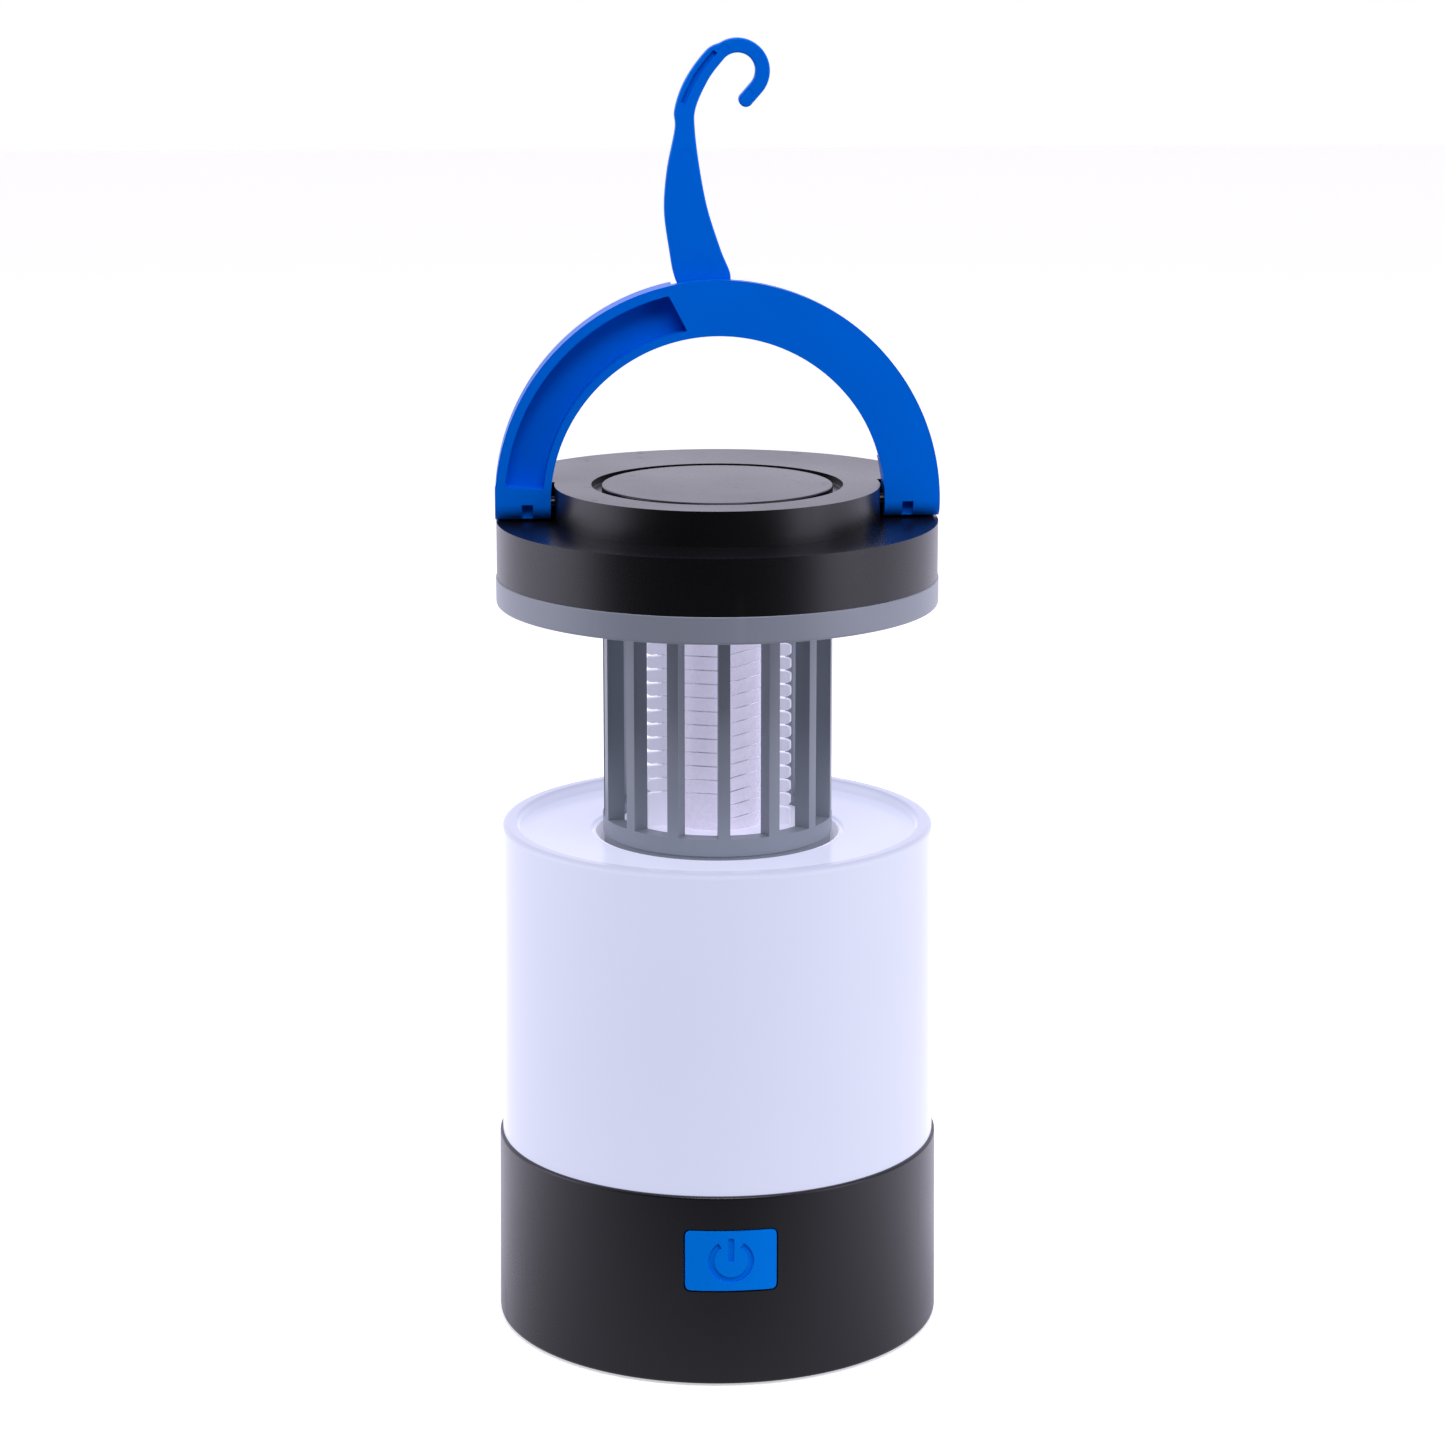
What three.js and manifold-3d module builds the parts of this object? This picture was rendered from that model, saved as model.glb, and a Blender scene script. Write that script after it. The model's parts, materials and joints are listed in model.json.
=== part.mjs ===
// A rechargeable camping bug zapper: a black base, a lantern drum, and a caged high-voltage grid under a
// head that pushes down into the drum. The head carries a folding arch handle with a swing-out hang hook.
// Millimetres, +Z up, origin on the floor under the middle of the base. The front, with the button, is -Y.
import * as THREE from 'three';
import { mergeVertices } from 'three/addons/utils/BufferGeometryUtils.js';
import Module from 'manifold-3d';

const wasm = await Module();
wasm.setup();

// ---- clearances ----
const fitGap = 0.3; // between pieces that slide past or drop into each other
const playGap = 0.08; // radial play of a pin that something turns on
const seatGap = 0.05; // radial gap of a pin or screw that sits tight

// ---- base ----
const baseHeight = 39.4;
const baseBottomRadius = 45.2;
const baseTopRadius = baseBottomRadius - 0.4;
const baseWall = 2.4;
const baseBore = baseTopRadius - baseWall;
const baseEdge = 0.5; // bevel round the top and bottom edges
const footLift = 0.5; // the shell stands this far off the floor on its feet
const deckDrop = 2; // depth of the rim above the deck, which the drum plugs into
const deckThick = 2;
const coverThick = 2;
const coverRaise = 0.4; // the cover sits this far up inside the shell
const footRadius = 5;
const footRing = baseBore - 9.4; // radius of the circle that the feet stand on
const footSeat = 0.8; // depth of the pockets that the feet are glued in
const shellScrewRing = baseBore - 4.2; // radius of the circle of base screws

// ---- power button ----
const buttonWidth = 18;
const buttonHeight = 12.3;
const buttonCorner = 1.2;
const buttonZ = baseHeight - 13.1;
const buttonProud = 0.3;
const buttonLip = 1.7; // how far the hidden flange reaches past the cap all round
const buttonSkin = 1.4;
const buttonStem = 1.4; // radius of the stem that presses the switch
const buttonTravel = 0.6;
const symbolRadius = 3.9;
const symbolLine = 1.3;
const symbolDepth = 0.5;
const symbolGap = 0.62; // half of the arc's opening, in radians

// ---- charging port ----
const portWidth = 9.6;
const portHeight = 4;
const portFlapWidth = 13.8;
const portFlapThick = 1.4;
const portFlapBelow = 3.9; // from the middle of the port down to the flap's pivot
const portFlapAbove = 4.5;

// ---- electronics in the base ----
const cellRadius = 9.1;
const cellLength = 65;
const cellFloor = 0.7;
const holderWall = 1.4;
const boardThick = 1.6;
const boardRadius = baseBore - 4;
const boardHalfWidth = 21.5;
const boardPostX = 17;
const boardPostY = 22;
const boardPostRadius = 2.6;
const stakeRadius = 1.2;
const switchSize = [6.2, 4, 3.8]; // wide, deep, high
const socketSize = [8.9, 8.2, 3.2];
const coilCoreSize = [13, 11, 8.5];
const capacitorRadius = 3.1;
const capacitorHeight = 8;

// ---- drum ----
const drumHeight = 65.1;
const drumBottomRadius = baseTopRadius - 0.6;
const drumTopRadius = drumBottomRadius - 0.6;
const drumWall = 2.1;
const drumRimWidth = 3;
const drumRimDrop = 2; // the top face lies this far below the rim
const drumFace = 1.6;
const drumRound = 2.6; // radius of the rim's outer edge
const spigotWall = 1.6;
const ledCount = 12;
const ledSize = 3;

// ---- guide sleeve under the drum's well ----
const sleeveWall = 1.8;
const collarHeight = 3.4;
const funnelDepth = 1.6;

// ---- cage ----
const cageRadius = 23.2;
const cageDepth = 3.4; // radial depth of a bar
const cageBore = cageRadius - cageDepth;
const barCount = 14;
const barWidth = 2.35;
const cageRise = 45.1; // lift of the head from pushed down to pulled up
const cageRingHeight = 3.5;
const skirtHeight = 8;
const skirtStep = 0.3;
const stopLip = 1.3;
const stopThick = 1.5;
const stopHeight = 2.2;
const flangeHeight = 5.4;
const flangeThick = 2;
const flangeWall = 2.6;

// ---- high-voltage grid ----
const postCount = 5;
const postThick = 1.2;
const postOuter = cageBore - 4.6;
const wireRadius = 0.22;
const wireRing = postOuter - 2.8; // radius at which the windings cross the posts
const tubeGap = 0.61; // between the light tube and the nearest point of a winding
const lightTubeRadius = wireRing * Math.cos(Math.PI / postCount) - wireRadius - tubeGap;
const postInner = lightTubeRadius + fitGap;
const wirePitch = 2.8; // between neighbouring turns of the two windings
const wireStart = 4.4; // height of the first turn above the cage's underside
const wireHeadroom = 2.6; // left free between the last turn and the cage's ceiling
const notchWidth = 0.8;
const formerDisc = 1.6;
const formerTopRadius = cageRadius + 1.8;
const lightTubeWall = 1.4;
const uvBoardRadius = cageRadius - 0.2;
const uvPostHeight = 3;
const uvPostRing = cageRadius - 2.2;
const leadRadius = 11;
const leadWire = 0.9;
const leadTurns = 5;

// ---- head ----
const headRadius = drumTopRadius + 0.4;
const flangeRadius = headRadius + 0.2;
const headSkirt = 11.2; // from the grey band up to the ledge that the handle folds onto
const bossHeight = 7;
const bossRadius = headRadius - 11.6;
const headWall = 2;
const headEdge = 0.5;
const discRadius = bossRadius - 9.4;
const discSeatRadius = discRadius + 2.05;
const discThick = 1.5;
const headScrewRing = headRadius - 7.6;

// ---- screws ----
const screwRadius = 1.4;
const screwHeadRadius = 3;
const screwHeadHeight = 1.9;
const shellScrewLength = 11;
const screwBossRadius = 3.4;
const screwSink = 2.2; // depth of the counterbore

// ---- handle ----
const handleOuter = headRadius + 0.2;
const handleInner = bossRadius + 0.8;
const archMiddle = (handleOuter + handleInner) / 2;
const handleThick = 6.6;
const handlePlate = 2.3; // front plate that covers the hook's recess
const pocketDepth = 4.4;
const pocketOuterWall = 1.9;
const pocketInnerWall = 1.5;
const pocketLowAngle = THREE.MathUtils.degToRad(176);
const pocketHighAngle = THREE.MathUtils.degToRad(101.6);
const pocketSlant = THREE.MathUtils.degToRad(16);
const recessWall = 1.3; // between the pocket's end and the hook's recess
const legBlockAngle = THREE.MathUtils.degToRad(14.5);
const hingePinRadius = 1.2;
const hingePinReach = 8.4; // how far the pin goes into the leg
const hingePinTail = 5; // how far it goes into the head
const legSlotX = archMiddle - 0.9;
const legSlotWidth = 2.2;
const legSlotDepth = 1.2;

// ---- hook, with its own origin at its pivot ----
const hookPivotX = -3;
const hookPivotZ = archMiddle + 1.2; // above the handle's pivot axis
const hookThick = handleThick - handlePlate - 1.5;
const hookPinRadius = 1.6;
const hookPinHead = 3;
const hookEye = 3.6; // radius of the end that turns on the pin
const curlX = 6.94;
const curlZ = 44.6;
const curlOuter = 6.43;
const curlInner = 3.5;
const tipX = 8.61;
const tipZ = 39.05;

// ---- levels that follow from the sizes above ----
const deckTop = baseHeight - deckDrop;
const deckBottom = deckTop - deckThick;
const coverBottom = footLift + coverRaise;
const coverTop = coverBottom + coverThick;
const drumTop = baseHeight + drumHeight;
const drumFaceTop = drumTop - drumRimDrop;
const collarRadius = cageRadius + fitGap + 0.15;
const wellRadius = collarRadius + 1.65;
const stopRadius = cageRadius - skirtStep + stopLip;
const sleeveBore = stopRadius + fitGap;
const sleeveRadius = sleeveBore + sleeveWall;
const sleeveTop = drumFaceTop - fitGap;
const collarBottom = sleeveTop - funnelDepth - collarHeight;
const cageBottom = drumFaceTop; // underside of the visible ring, with the head pulled up
const skirtBottom = cageBottom - skirtHeight;
const flangeBottom = drumTop + cageRise;
const flangeTop = flangeBottom + flangeHeight;
const flangePlateTop = flangeBottom + flangeThick;
const ledge = flangeTop + headSkirt;
const headTop = ledge + bossHeight;
const headScrewLength = ledge - headWall - 1.4 - flangeBottom - screwSink;
const rearBlockY = handleThick / 2 + 0.4; // the full-height half of the head starts here
const pivotZ = ledge + handleThick / 2 + fitGap;
const formerBottom = cageBottom + 0.1;
const formerFloor = formerBottom + formerDisc;
const formerTop = flangePlateTop + formerDisc;
const wireRise = flangePlateTop - wireHeadroom - cageBottom - wireStart;
const wireTurns = Math.floor((wireRise / wirePitch - 1) / 2);
const uvBoardBottom = formerTop + uvPostHeight;
const boardTop = buttonZ - switchSize[2] / 2 + 0.2;
const boardBottom = boardTop - boardThick;
const cellZ = coverTop + cellFloor + fitGap + cellRadius;
const hookFront = -handleThick / 2 + handlePlate + fitGap;

const bigCircle = 36;
const midCircle = 16;
const smallCircle = 12;
const screwCircle = 8;
const cornerSteps = 4;
const fineCircle = 64; // for the button and flap, which follow the base's curve

// ---- shape helpers ----

// A closed three.js geometry as a manifold solid, turned right side out if its faces point inwards.
function solid(geometry) {
  const bare = geometry.index ? geometry.toNonIndexed() : geometry;
  bare.deleteAttribute('normal');
  bare.deleteAttribute('uv');
  const merged = mergeVertices(bare, 1e-4);
  const points = merged.attributes.position.array;
  const corners = Array.from(merged.index.array);
  const kept = [];
  let volume = 0;
  const a = new THREE.Vector3();
  const b = new THREE.Vector3();
  const c = new THREE.Vector3();
  for (let i = 0; i < corners.length; i += 3) {
    const [p, q, r] = corners.slice(i, i + 3);
    if (p === q || q === r || r === p) continue;
    a.fromArray(points, p * 3);
    b.fromArray(points, q * 3);
    c.fromArray(points, r * 3);
    volume += a.dot(b.cross(c));
    kept.push(p, q, r);
  }
  if (volume < 0) kept.reverse();
  const mesh = new wasm.Mesh({
    numProp: 3,
    vertProperties: new Float32Array(points),
    triVerts: new Uint32Array(kept),
  });
  return new wasm.Manifold(mesh);
}

function box(low, high) {
  const size = high.map((value, i) => value - low[i]);
  const geometry = new THREE.BoxGeometry(...size);
  geometry.translate(...low.map((value, i) => value + size[i] / 2));
  return solid(geometry);
}

function lathe(profile, segments = bigCircle) {
  const geometry = new THREE.LatheGeometry(profile.map(([r, z]) => new THREE.Vector2(r, z)), segments);
  geometry.rotateX(Math.PI / 2);
  return solid(geometry);
}

// A ring whose profile closes on itself.
function ring(profile, segments = bigCircle) {
  return lathe([...profile, profile[0]], segments);
}

function drum(radius, z0, z1, segments = bigCircle) {
  return lathe([[0, z0], [radius, z0], [radius, z1], [0, z1]], segments);
}

function tube(inner, outer, z0, z1, segments = bigCircle) {
  return ring([[inner, z0], [outer, z0], [outer, z1], [inner, z1]], segments);
}

// An upright rod at x, y.
function rodZ(radius, x, y, z0, z1, segments = smallCircle) {
  return drum(radius, z0, z1, segments).translate([x, y, 0]);
}

function rodX(radius, x0, x1, y, z, segments = smallCircle) {
  const geometry = new THREE.CylinderGeometry(radius, radius, x1 - x0, segments);
  geometry.rotateZ(Math.PI / 2);
  geometry.translate((x0 + x1) / 2, y, z);
  return solid(geometry);
}

function rodY(radius, y0, y1, x, z, segments = smallCircle) {
  const geometry = new THREE.CylinderGeometry(radius, radius, y1 - y0, segments);
  geometry.translate(x, (y0 + y1) / 2, z);
  return solid(geometry);
}

// A flat shape drawn in X and Y, thick along Z.
function plateZ(shape, z0, z1, curveSegments = cornerSteps) {
  const geometry = new THREE.ExtrudeGeometry(shape, { depth: z1 - z0, bevelEnabled: false, curveSegments });
  geometry.translate(0, 0, z0);
  return solid(geometry);
}

// A flat shape drawn in X and Z, thick along Y.
function plateY(shape, y0, y1, curveSegments = cornerSteps) {
  const geometry = new THREE.ExtrudeGeometry(shape, { depth: y1 - y0, bevelEnabled: false, curveSegments });
  geometry.rotateX(Math.PI / 2);
  geometry.translate(0, y1, 0);
  return solid(geometry);
}

function roundedRect(width, height, corner, x = 0, y = 0) {
  const shape = new THREE.Shape();
  const [w, h] = [width / 2 - corner, height / 2 - corner];
  shape.absarc(x + w, y + h, corner, 0, Math.PI / 2);
  shape.absarc(x - w, y + h, corner, Math.PI / 2, Math.PI);
  shape.absarc(x - w, y - h, corner, Math.PI, 1.5 * Math.PI);
  shape.absarc(x + w, y - h, corner, 1.5 * Math.PI, 2 * Math.PI);
  return shape;
}

// Part of a flat ring between two angles.
function arcBand(inner, outer, from, to) {
  const shape = new THREE.Shape();
  shape.absarc(0, 0, outer, from, to, false);
  shape.absarc(0, 0, inner, to, from, true);
  shape.closePath();
  return shape;
}

// A round wire through corners that are evenly spaced along it.
function wire(points, radius, sides, steps) {
  const path = new THREE.CurvePath();
  for (let i = 1; i < points.length; i += 1) path.add(new THREE.LineCurve3(points[i - 1], points[i]));
  const section = new THREE.Shape();
  section.absarc(0, 0, radius, 0, 2 * Math.PI);
  const options = { extrudePath: path, steps, curveSegments: sides / 2, bevelEnabled: false };
  return solid(new THREE.ExtrudeGeometry(section, options));
}

function onCircle(radius, count, turn, place) {
  const pieces = [];
  for (let i = 0; i < count; i += 1) {
    const angle = turn + (2 * Math.PI * i) / count;
    pieces.push(place(radius * Math.cos(angle), radius * Math.sin(angle), angle, i));
  }
  return pieces;
}

function join(...solids) {
  return solids.reduce((sum, piece) => sum.add(piece));
}

function cut(from, ...tools) {
  return tools.reduce((rest, tool) => rest.subtract(tool), from);
}

// ---- materials ----
const finish = (color, roughness, metalness = 0, extra = {}) => () =>
  new THREE.MeshStandardMaterial({ color, roughness, metalness, ...extra });
const blackPlastic = finish(0x1c1b20, 0.5);
const bluePlastic = finish(0x0055c4, 0.4);
const greyPlastic = finish(0x7b8290, 0.45);
const whitePlastic = finish(0xe6e4f4, 0.35);
const opalPlastic = finish(0xeaeafa, 0.3, 0, { transparent: true, opacity: 0.9 });
const clearPlastic = finish(0xdedcf2, 0.25, 0, { transparent: true, opacity: 0.8 });
const steel = finish(0xc8c8cc, 0.25, 1);
const zinc = finish(0x8f9196, 0.35, 1);
const rubber = finish(0x242326, 0.8);
const boardGreen = finish(0x1f6b3a, 0.55);
const boardWhite = finish(0xf1f1ec, 0.5);
const cellWrap = finish(0x2f7d5b, 0.4);
const ferrite = finish(0x3a3634, 0.6);
const copperLead = finish(0xb02a22, 0.5);

function piece(name, material, shape) {
  const { numProp, vertProperties, triVerts } = shape.getMesh();
  const geometry = new THREE.BufferGeometry();
  geometry.setAttribute('position', new THREE.BufferAttribute(vertProperties, numProp));
  geometry.setIndex(new THREE.BufferAttribute(triVerts, 1));
  const mesh = new THREE.Mesh(geometry, material());
  mesh.name = name;
  return mesh;
}

// ---- base ----

function buttonOutline(grow) {
  return roundedRect(buttonWidth + 2 * grow, buttonHeight + 2 * grow, buttonCorner + grow, 0, buttonZ);
}

const flapPivotZ = buttonZ - portFlapBelow;
const flapPivotY = baseTopRadius - portFlapThick / 2;
const recessFloorY = flapPivotY - portFlapThick / 2 - fitGap / 2;

function baseShell() {
  const outer = lathe([
    [0, deckBottom],
    [baseBore, deckBottom],
    [baseBore, footLift],
    [baseBottomRadius - baseEdge, footLift],
    [baseBottomRadius, footLift + baseEdge],
    [baseTopRadius, baseHeight - baseEdge],
    [baseTopRadius - baseEdge, baseHeight],
    [baseBore - fitGap, baseHeight],
    [baseBore - fitGap, deckTop],
    [0, deckTop],
  ]);
  const bosses = onCircle(shellScrewRing, 4, Math.PI / 4, (x, y) =>
    rodZ(screwBossRadius, x, y, coverBottom + screwSink + deckThick + fitGap, deckBottom + 0.5));
  const bores = onCircle(shellScrewRing, 4, Math.PI / 4, (x, y) =>
    rodZ(screwRadius + seatGap, x, y, 0, coverBottom + screwSink + shellScrewLength + 1));
  const window = plateY(buttonOutline(fitGap), -baseBottomRadius - 1, -baseBore + 4);
  const flapHalf = portFlapWidth / 2 + fitGap;
  const recess = box(
    [-flapHalf, recessFloorY, flapPivotZ - portFlapThick / 2 - fitGap],
    [flapHalf, baseBottomRadius + 1, buttonZ + portFlapAbove + fitGap],
  );
  const port = box(
    [-portWidth / 2, baseBore - 3, buttonZ - portHeight / 2],
    [portWidth / 2, baseBottomRadius + 1, buttonZ + portHeight / 2],
  );
  const leadHole = drum(2.5, deckBottom - 1, deckTop + 1, smallCircle);
  return cut(join(outer, ...bosses), ...bores, window, recess, port, leadHole);
}

function baseCover() {
  const plate = drum(baseBore - fitGap, coverBottom, coverTop);
  const shoulders = onCircle(shellScrewRing, 4, Math.PI / 4, (x, y) =>
    rodZ(screwBossRadius + 0.4, x, y, coverBottom, coverBottom + screwSink + deckThick).intersect(
      drum(baseBore - fitGap, 0, baseHeight)));
  const posts = [];
  for (const x of [-boardPostX, boardPostX]) {
    for (const y of [-boardPostY, boardPostY]) {
      posts.push(rodZ(boardPostRadius, x, y, coverTop - 0.5, boardBottom));
      posts.push(rodZ(stakeRadius, x, y, boardBottom - 0.5, boardTop + 1));
    }
  }
  const holes = onCircle(shellScrewRing, 4, Math.PI / 4, (x, y) => join(
    rodZ(screwRadius + fitGap, x, y, 0, baseHeight),
    rodZ(screwHeadRadius + fitGap, x, y, 0, coverBottom + screwSink),
  ));
  const footPockets = onCircle(footRing, 4, 0, (x, y) =>
    rodZ(footRadius + seatGap, x, y, 0, coverBottom + footSeat, midCircle));
  return cut(join(plate, ...shoulders, ...posts), ...holes, ...footPockets);
}

function screw(x, y, headBottom, length) {
  const headTopZ = headBottom + screwHeadHeight;
  const body = lathe([
    [0, headBottom],
    [screwHeadRadius - 0.5, headBottom],
    [screwHeadRadius, headBottom + 0.7],
    [screwHeadRadius, headTopZ],
    [screwRadius, headTopZ],
    [screwRadius, headTopZ + length - 1.2],
    [0, headTopZ + length],
  ], screwCircle);
  const half = screwHeadRadius * 0.6;
  const slotX = box([-half, -0.35, headBottom - 1], [half, 0.35, headBottom + 1]);
  const slotY = box([-0.35, -half, headBottom - 1], [0.35, half, headBottom + 1]);
  return cut(body, slotX, slotY).translate([x, y, 0]);
}

function foot(x, y) {
  const top = coverBottom + footSeat;
  const profile = [[0, 0], [footRadius - 0.6, 0], [footRadius, 0.4], [footRadius, top], [0, top]];
  return lathe(profile, midCircle).translate([x, y, 0]);
}

function powerSymbol() {
  const top = Math.PI / 2;
  const [inner, outer] = [symbolRadius - symbolLine / 2, symbolRadius + symbolLine / 2];
  const arc = plateY(arcBand(inner, outer, top + symbolGap, top + 2 * Math.PI - symbolGap), -60, -30, smallCircle);
  const bar = plateY(roundedRect(symbolLine, symbolRadius + 1.1, symbolLine * 0.4, 0, symbolRadius * 0.62), -60, -30);
  return join(arc, bar).translate([0, 0, buttonZ]);
}

function powerButton() {
  const back = baseBore - fitGap - buttonSkin;
  const face = baseTopRadius + buttonProud;
  const cap = plateY(buttonOutline(0), -face - 1, -back + 4).intersect(drum(face, 0, baseHeight, fineCircle));
  const flange = plateY(buttonOutline(buttonLip), -face, -back + 4).intersect(
    drum(baseBore - fitGap, 0, baseHeight, fineCircle));
  const hollow = drum(back, -1, baseHeight + 1, fineCircle);
  const symbol = powerSymbol().subtract(drum(face - symbolDepth, -1, baseHeight + 1, fineCircle));
  const switchFront = boardRadius - 3.4;
  const stem = rodY(buttonStem, -back - 0.4, -switchFront - 1.5 - buttonTravel - 0.2, 0, buttonZ);
  return join(cut(join(cap, flange), hollow, symbol), stem);
}

function portCover() {
  const half = portFlapWidth / 2;
  const back = flapPivotY - portFlapThick / 2;
  const plate = box([-half, back, flapPivotZ], [half, baseTopRadius + 1, buttonZ + portFlapAbove]);
  const skin = plate.intersect(drum(baseTopRadius, 0, baseHeight, fineCircle));
  const knuckle = rodX(portFlapThick / 2 - 0.12, -half + 0.6, half - 0.6, flapPivotY - 0.1, flapPivotZ);
  const tongue = box(
    [-portWidth / 2 + 0.9, back - 1.6, buttonZ - 1.3],
    [portWidth / 2 - 0.9, back + 0.3, buttonZ + 1.3],
  );
  const grip = box([-2.4, baseTopRadius - 0.7, buttonZ + 2.7], [2.4, baseTopRadius + 0.3, buttonZ + 3.6]);
  return join(skin, knuckle, tongue, grip);
}

function batteryHolder() {
  const x = cellLength / 2 + 1.3 + holderWall;
  const y = cellRadius + fitGap + holderWall;
  const tray = box([-x, -y, coverTop], [x, y, cellZ - 1]);
  const bay = box(
    [-x + holderWall, -y + holderWall, coverTop + cellFloor],
    [x - holderWall, y - holderWall, cellZ + 20],
  );
  const notches = [-1, 1].map((side) => box([-12, side * y - 2, cellZ - 4], [12, side * y + 2, cellZ]));
  return cut(tray, bay, ...notches);
}

function batteryCell() {
  const half = cellLength / 2;
  const can = rodX(cellRadius, -half, half - 1, 0, cellZ, midCircle);
  const cap = rodX(cellRadius * 0.35, half - 1.5, half, 0, cellZ, smallCircle);
  return join(can, cap);
}

function batteryContact(side) {
  const inner = side * (cellLength / 2 + 0.35);
  const outer = side * (cellLength / 2 + 0.95);
  const [low, high] = [Math.min(inner, outer), Math.max(inner, outer)];
  return box([low, -5, coverTop + cellFloor + fitGap], [high, 5, cellZ + 3]);
}

function mainBoard() {
  const edge = Math.asin(boardHalfWidth / boardRadius);
  const outline = new THREE.Shape();
  outline.absarc(0, 0, boardRadius, Math.PI / 2 - edge, Math.PI / 2 + edge, false);
  outline.absarc(0, 0, boardRadius, 1.5 * Math.PI - edge, 1.5 * Math.PI + edge, false);
  outline.closePath();
  const holes = [];
  for (const x of [-boardPostX, boardPostX]) {
    for (const y of [-boardPostY, boardPostY]) {
      holes.push(rodZ(stakeRadius + seatGap, x, y, boardBottom - 1, boardTop + 1));
    }
  }
  return cut(plateZ(outline, boardBottom, boardTop, smallCircle), ...holes);
}

function tactileSwitch() {
  const front = boardRadius - 3.4;
  const [wide, deep, high] = switchSize;
  const body = box([-wide / 2, -front, boardTop], [wide / 2, -front + deep, boardTop + high]);
  return join(body, rodY(1.6, -front - 1.3, -front + 1, 0, buttonZ));
}

function chargingSocket() {
  const [wide, deep, high] = socketSize;
  const mouth = baseBore - 1.9;
  const shape = roundedRect(wide, high, 1.1, 0, boardTop + high / 2);
  const inside = roundedRect(wide - 0.8, high - 0.8, 0.8, 0, boardTop + high / 2);
  return cut(plateY(shape, mouth - deep, mouth), plateY(inside, mouth - deep + 1.5, mouth + 1));
}

function boosterCoil() {
  const [wide, deep, high] = coilCoreSize;
  const core = box([-wide / 2, -deep / 2, 0], [wide / 2, deep / 2, high]);
  const winding = rodX(deep * 0.62, -wide / 4, wide / 4, 0, high / 2, smallCircle);
  const flat = box([-wide, -deep, 0], [wide, deep, high]);
  return join(core, winding.intersect(flat)).translate([8, 6, boardTop]);
}

function capacitor() {
  const profile = [
    [0, 0],
    [capacitorRadius, 0],
    [capacitorRadius, capacitorHeight - 0.6],
    [capacitorRadius - 0.6, capacitorHeight],
    [0, capacitorHeight],
  ];
  return lathe(profile, smallCircle).translate([-10, 8, boardTop]);
}

// ---- lantern drum ----

function diffuser() {
  const spigot = baseBore - 2 * fitGap;
  const bore = drumTopRadius - drumWall;
  const rimInner = drumTopRadius - drumRimWidth;
  const rounding = [];
  for (let i = 0; i <= 3; i += 1) {
    const angle = (Math.PI / 2) * (i / 3);
    rounding.push([
      drumTopRadius - drumRound * (1 - Math.cos(angle)),
      drumTop - drumRound * (1 - Math.sin(angle)),
    ]);
  }
  const under = drumFaceTop - drumFace;
  return ring([
    [spigot - spigotWall, deckTop + 0.1],
    [spigot, deckTop + 0.1],
    [spigot, baseHeight],
    [drumBottomRadius, baseHeight],
    ...rounding,
    [rimInner, drumTop],
    [rimInner - 0.2, drumFaceTop],
    [wellRadius, drumFaceTop],
    [wellRadius, under],
    [bore - 0.8, under],
    [bore, under - 0.8],
    [bore, baseHeight + 1.6],
    [spigot - spigotWall, baseHeight + 0.6],
  ]);
}

function lanternBoard() {
  const inner = sleeveRadius + fitGap;
  const outer = baseBore - 2 * fitGap - spigotWall - fitGap;
  const middle = (inner + outer) / 2;
  const plate = tube(inner, outer, deckTop, deckTop + 1.2);
  const leds = onCircle(middle, ledCount, 0, (x, y) => box(
    [x - ledSize / 2, y - ledSize / 2, deckTop + 1],
    [x + ledSize / 2, y + ledSize / 2, deckTop + 2],
  ));
  return join(plate, ...leds);
}

function guideSleeve() {
  const neck = wellRadius - fitGap;
  const shoulder = drumFaceTop - drumFace - fitGap;
  return ring([
    [sleeveBore, deckTop],
    [sleeveRadius, deckTop],
    [sleeveRadius, shoulder],
    [neck, shoulder],
    [neck, sleeveTop],
    [neck - 0.3, sleeveTop],
    [collarRadius, sleeveTop - funnelDepth],
    [collarRadius, collarBottom],
    [sleeveBore, collarBottom],
  ]);
}

function highVoltageLead() {
  const bottom = deckTop + leadWire + fitGap;
  const top = skirtBottom - stopThick - leadWire - fitGap;
  const perTurn = 12;
  const points = [];
  for (let i = 0; i <= leadTurns * perTurn; i += 1) {
    const angle = (2 * Math.PI * i) / perTurn;
    const z = bottom + ((top - bottom) * i) / (leadTurns * perTurn);
    points.push(new THREE.Vector3(leadRadius * Math.cos(angle), leadRadius * Math.sin(angle), z));
  }
  return wire(points, leadWire, 6, leadTurns * perTurn);
}

// ---- cage and grid ----

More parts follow.
